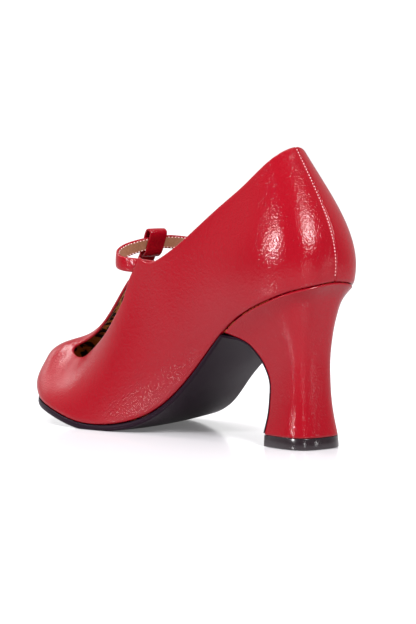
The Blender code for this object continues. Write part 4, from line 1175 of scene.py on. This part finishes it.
# Buckle tab and keeper: narrow folded patent bands. The tab is sewn to the outer quarter behind the
# buckle and carries it, and the keeper is a closed band round tab and strap.
KEEPER_WIDTH = 0.0045
KEEPER_PLACE = 0.0120
KEEPER_ROUND = 0.0007
TAB_ROUTE = ((-0.25, 0.9), (0.17, 0.75), (0.58, 0.15), (1.08, 0), (1.83, 0), (2.67, 0))
TAB_TIP = ((0, 0.05), (0.008, 0.40), (0.022, 0.70), (0.045, 0.88), (0.08, 0.97), (0.12, 1), (1, 1))
TAB_SHARE = 0.92
inward = STRAP_THICK / 2 + GAP + TAB_THICK / 2
tab_line = []
tab_lean = []
for share, sink in reversed(TAB_ROUTE):
    point, along, out, _ = on_strap(max(share, 0) * BUCKLE_LENGTH, -inward - sink * (KEEPER_THICK + GAP))
    tab_line.append(point - along * min(share, 0) * BUCKLE_LENGTH)
    tab_lean.append(math.asin(out[2]))
tip = [(1 - at, width) for at, width in reversed(TAB_TIP)]
tab = folded_band("sewn_buckle_tab", np.array(tab_line), np.array(tab_lean), 160, STRAP_WIDTH * TAB_SHARE,
                  TAB_THICK * (1 - FACE_CROWN), tip, patent, tan)
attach(tab, "root")
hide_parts("buckle_tab")

inner = STRAP_THICK / 2 + GAP + TAB_THICK + GAP
outer = STRAP_THICK / 2 + GAP
centre, along, out, up = on_strap(KEEPER_PLACE, (outer - inner) / 2)
half_out = (outer + inner) / 2 + KEEPER_THICK / 2
half_up = STRAP_WIDTH / 2 + GAP + KEEPER_THICK / 2
path, facing = rounded_ring(centre, out, up, half_out, half_up, KEEPER_ROUND, 7)
section, _ = band_section(KEEPER_WIDTH, KEEPER_THICK * (1 - FACE_CROWN), 5)
points = [place + along * x - side * z for place, side in zip(path, facing) for x, z in section]
size = len(section)
faces = []
for i in range(len(path)):
    n = (i + 1) % len(path)
    for k in range(size):
        m = (k + 1) % size
        faces.append((i * size + k, n * size + k, n * size + m, i * size + m))
keeper = make_piece("folded_strap_keeper", points, faces, [patent])
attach(keeper, "root")
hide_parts("strap_keeper")

# Floor, backdrop, lamps and camera: a white acrylic floor under light that is bright behind the shoe and
# dimmer behind the camera. One softbox draws each of the two broken glares on the counter, two narrow
# strips the upright streaks on the heel, and two softboxes in front the toe's glare.
TARGET = Vector((0, 0.0999, 0.0635)) + Vector(TO_FRAME)
YAW = math.radians(48.68)
PITCH = math.radians(5.55)
DISTANCE = 2.5
LENS = 276.87
look = Vector((math.cos(YAW) * math.cos(PITCH), math.sin(YAW) * math.cos(PITCH), -math.sin(PITCH)))
camera_data = bpy.data.cameras.new("photo_camera")
camera_data.sensor_fit = "VERTICAL"
camera_data.sensor_height = 36
camera_data.lens = LENS
camera = bpy.data.objects.new("photo_camera", camera_data)
camera.location = TARGET - look * DISTANCE
camera.rotation_euler = look.to_track_quat("-Z", "Y").to_euler()
bpy.context.scene.collection.objects.link(camera)
bpy.context.scene.camera = camera
bpy.context.scene.view_settings.view_transform = "Standard"

acrylic, tree, shader, _ = surface("white_acrylic_sweep")
feed(tree, shader, {"Base Color": (0.64, 0.62, 0.65, 1), "Roughness": 0.13, "IOR": 1.45,
                    "Emission Color": (1.0, 0.995, 1.0, 1), "Emission Strength": 0.12})
SWEEP = 6.0
FLOOR_LEVEL = -0.0002
mesh = bpy.data.meshes.new("studio_floor")
corners = [(x * SWEEP, y * SWEEP, FLOOR_LEVEL) for x, y in ((-1, -1), (1, -1), (1, 1), (-1, 1))]
mesh.from_pydata(corners, [], [(0, 1, 2, 3)])
mesh.materials.append(acrylic)
floor = bpy.data.objects.new("studio_floor", mesh)
bpy.context.scene.collection.objects.link(floor)

world = bpy.data.worlds.new("studio_light")
bpy.context.scene.world = world
world.use_nodes = True
tree = world.node_tree
direction = add(tree, "ShaderNodeTexCoord").outputs["Generated"]
ahead = add(tree, "ShaderNodeVectorMath", {0: direction, 1: (look.x, look.y, 0.35)},
            operation="DOT_PRODUCT")
level = add(tree, "ShaderNodeMapRange", {"Value": ahead.outputs["Value"], "From Min": -0.1,
                                         "From Max": 0.75, "To Min": 0.36, "To Max": 1.12},
            interpolation_type="SMOOTHSTEP")
feed(tree, tree.nodes["Background"], {"Strength": level.outputs["Result"], "Color": (1, 1, 1, 1)})
LAMP_AIM = Vector((0, -0.08, 0.08))


def lamp(name, azimuth, elevation, distance, size, watts):
    """A rectangular lamp aimed at the counter from a direction round it and up."""
    data = bpy.data.lights.new(name, "AREA")
    data.shape = "RECTANGLE"
    data.size, data.size_y = size
    data.energy = watts
    made = bpy.data.objects.new(name, data)
    turn = math.radians(azimuth)
    rise = math.radians(elevation)
    away = Vector((math.cos(turn) * math.cos(rise), math.sin(turn) * math.cos(rise), math.sin(rise)))
    made.location = LAMP_AIM + away * distance
    made.rotation_euler = (away * -1).to_track_quat("-Z", "Y").to_euler()
    bpy.context.scene.collection.objects.link(made)


lamp("main_softbox", 256, 41, 1.8, (0.44, 0.50), 52)
lamp("side_softbox", 168, 20, 1.8, (0.20, 0.32), 34)
lamp("left_strip", 239, 3, 1.8, (0.07, 0.34), 2.4)
lamp("right_strip", 296, 2.5, 1.8, (0.06, 0.30), 1.6)
lamp("toe_softbox", 104, 46, 1.8, (0.34, 0.24), 13)
lamp("front_softbox", 88, 20, 1.8, (0.40, 0.50), 2.4)
lamp("top_softbox", 60, 84, 2.0, (1.6, 1.6), 15)
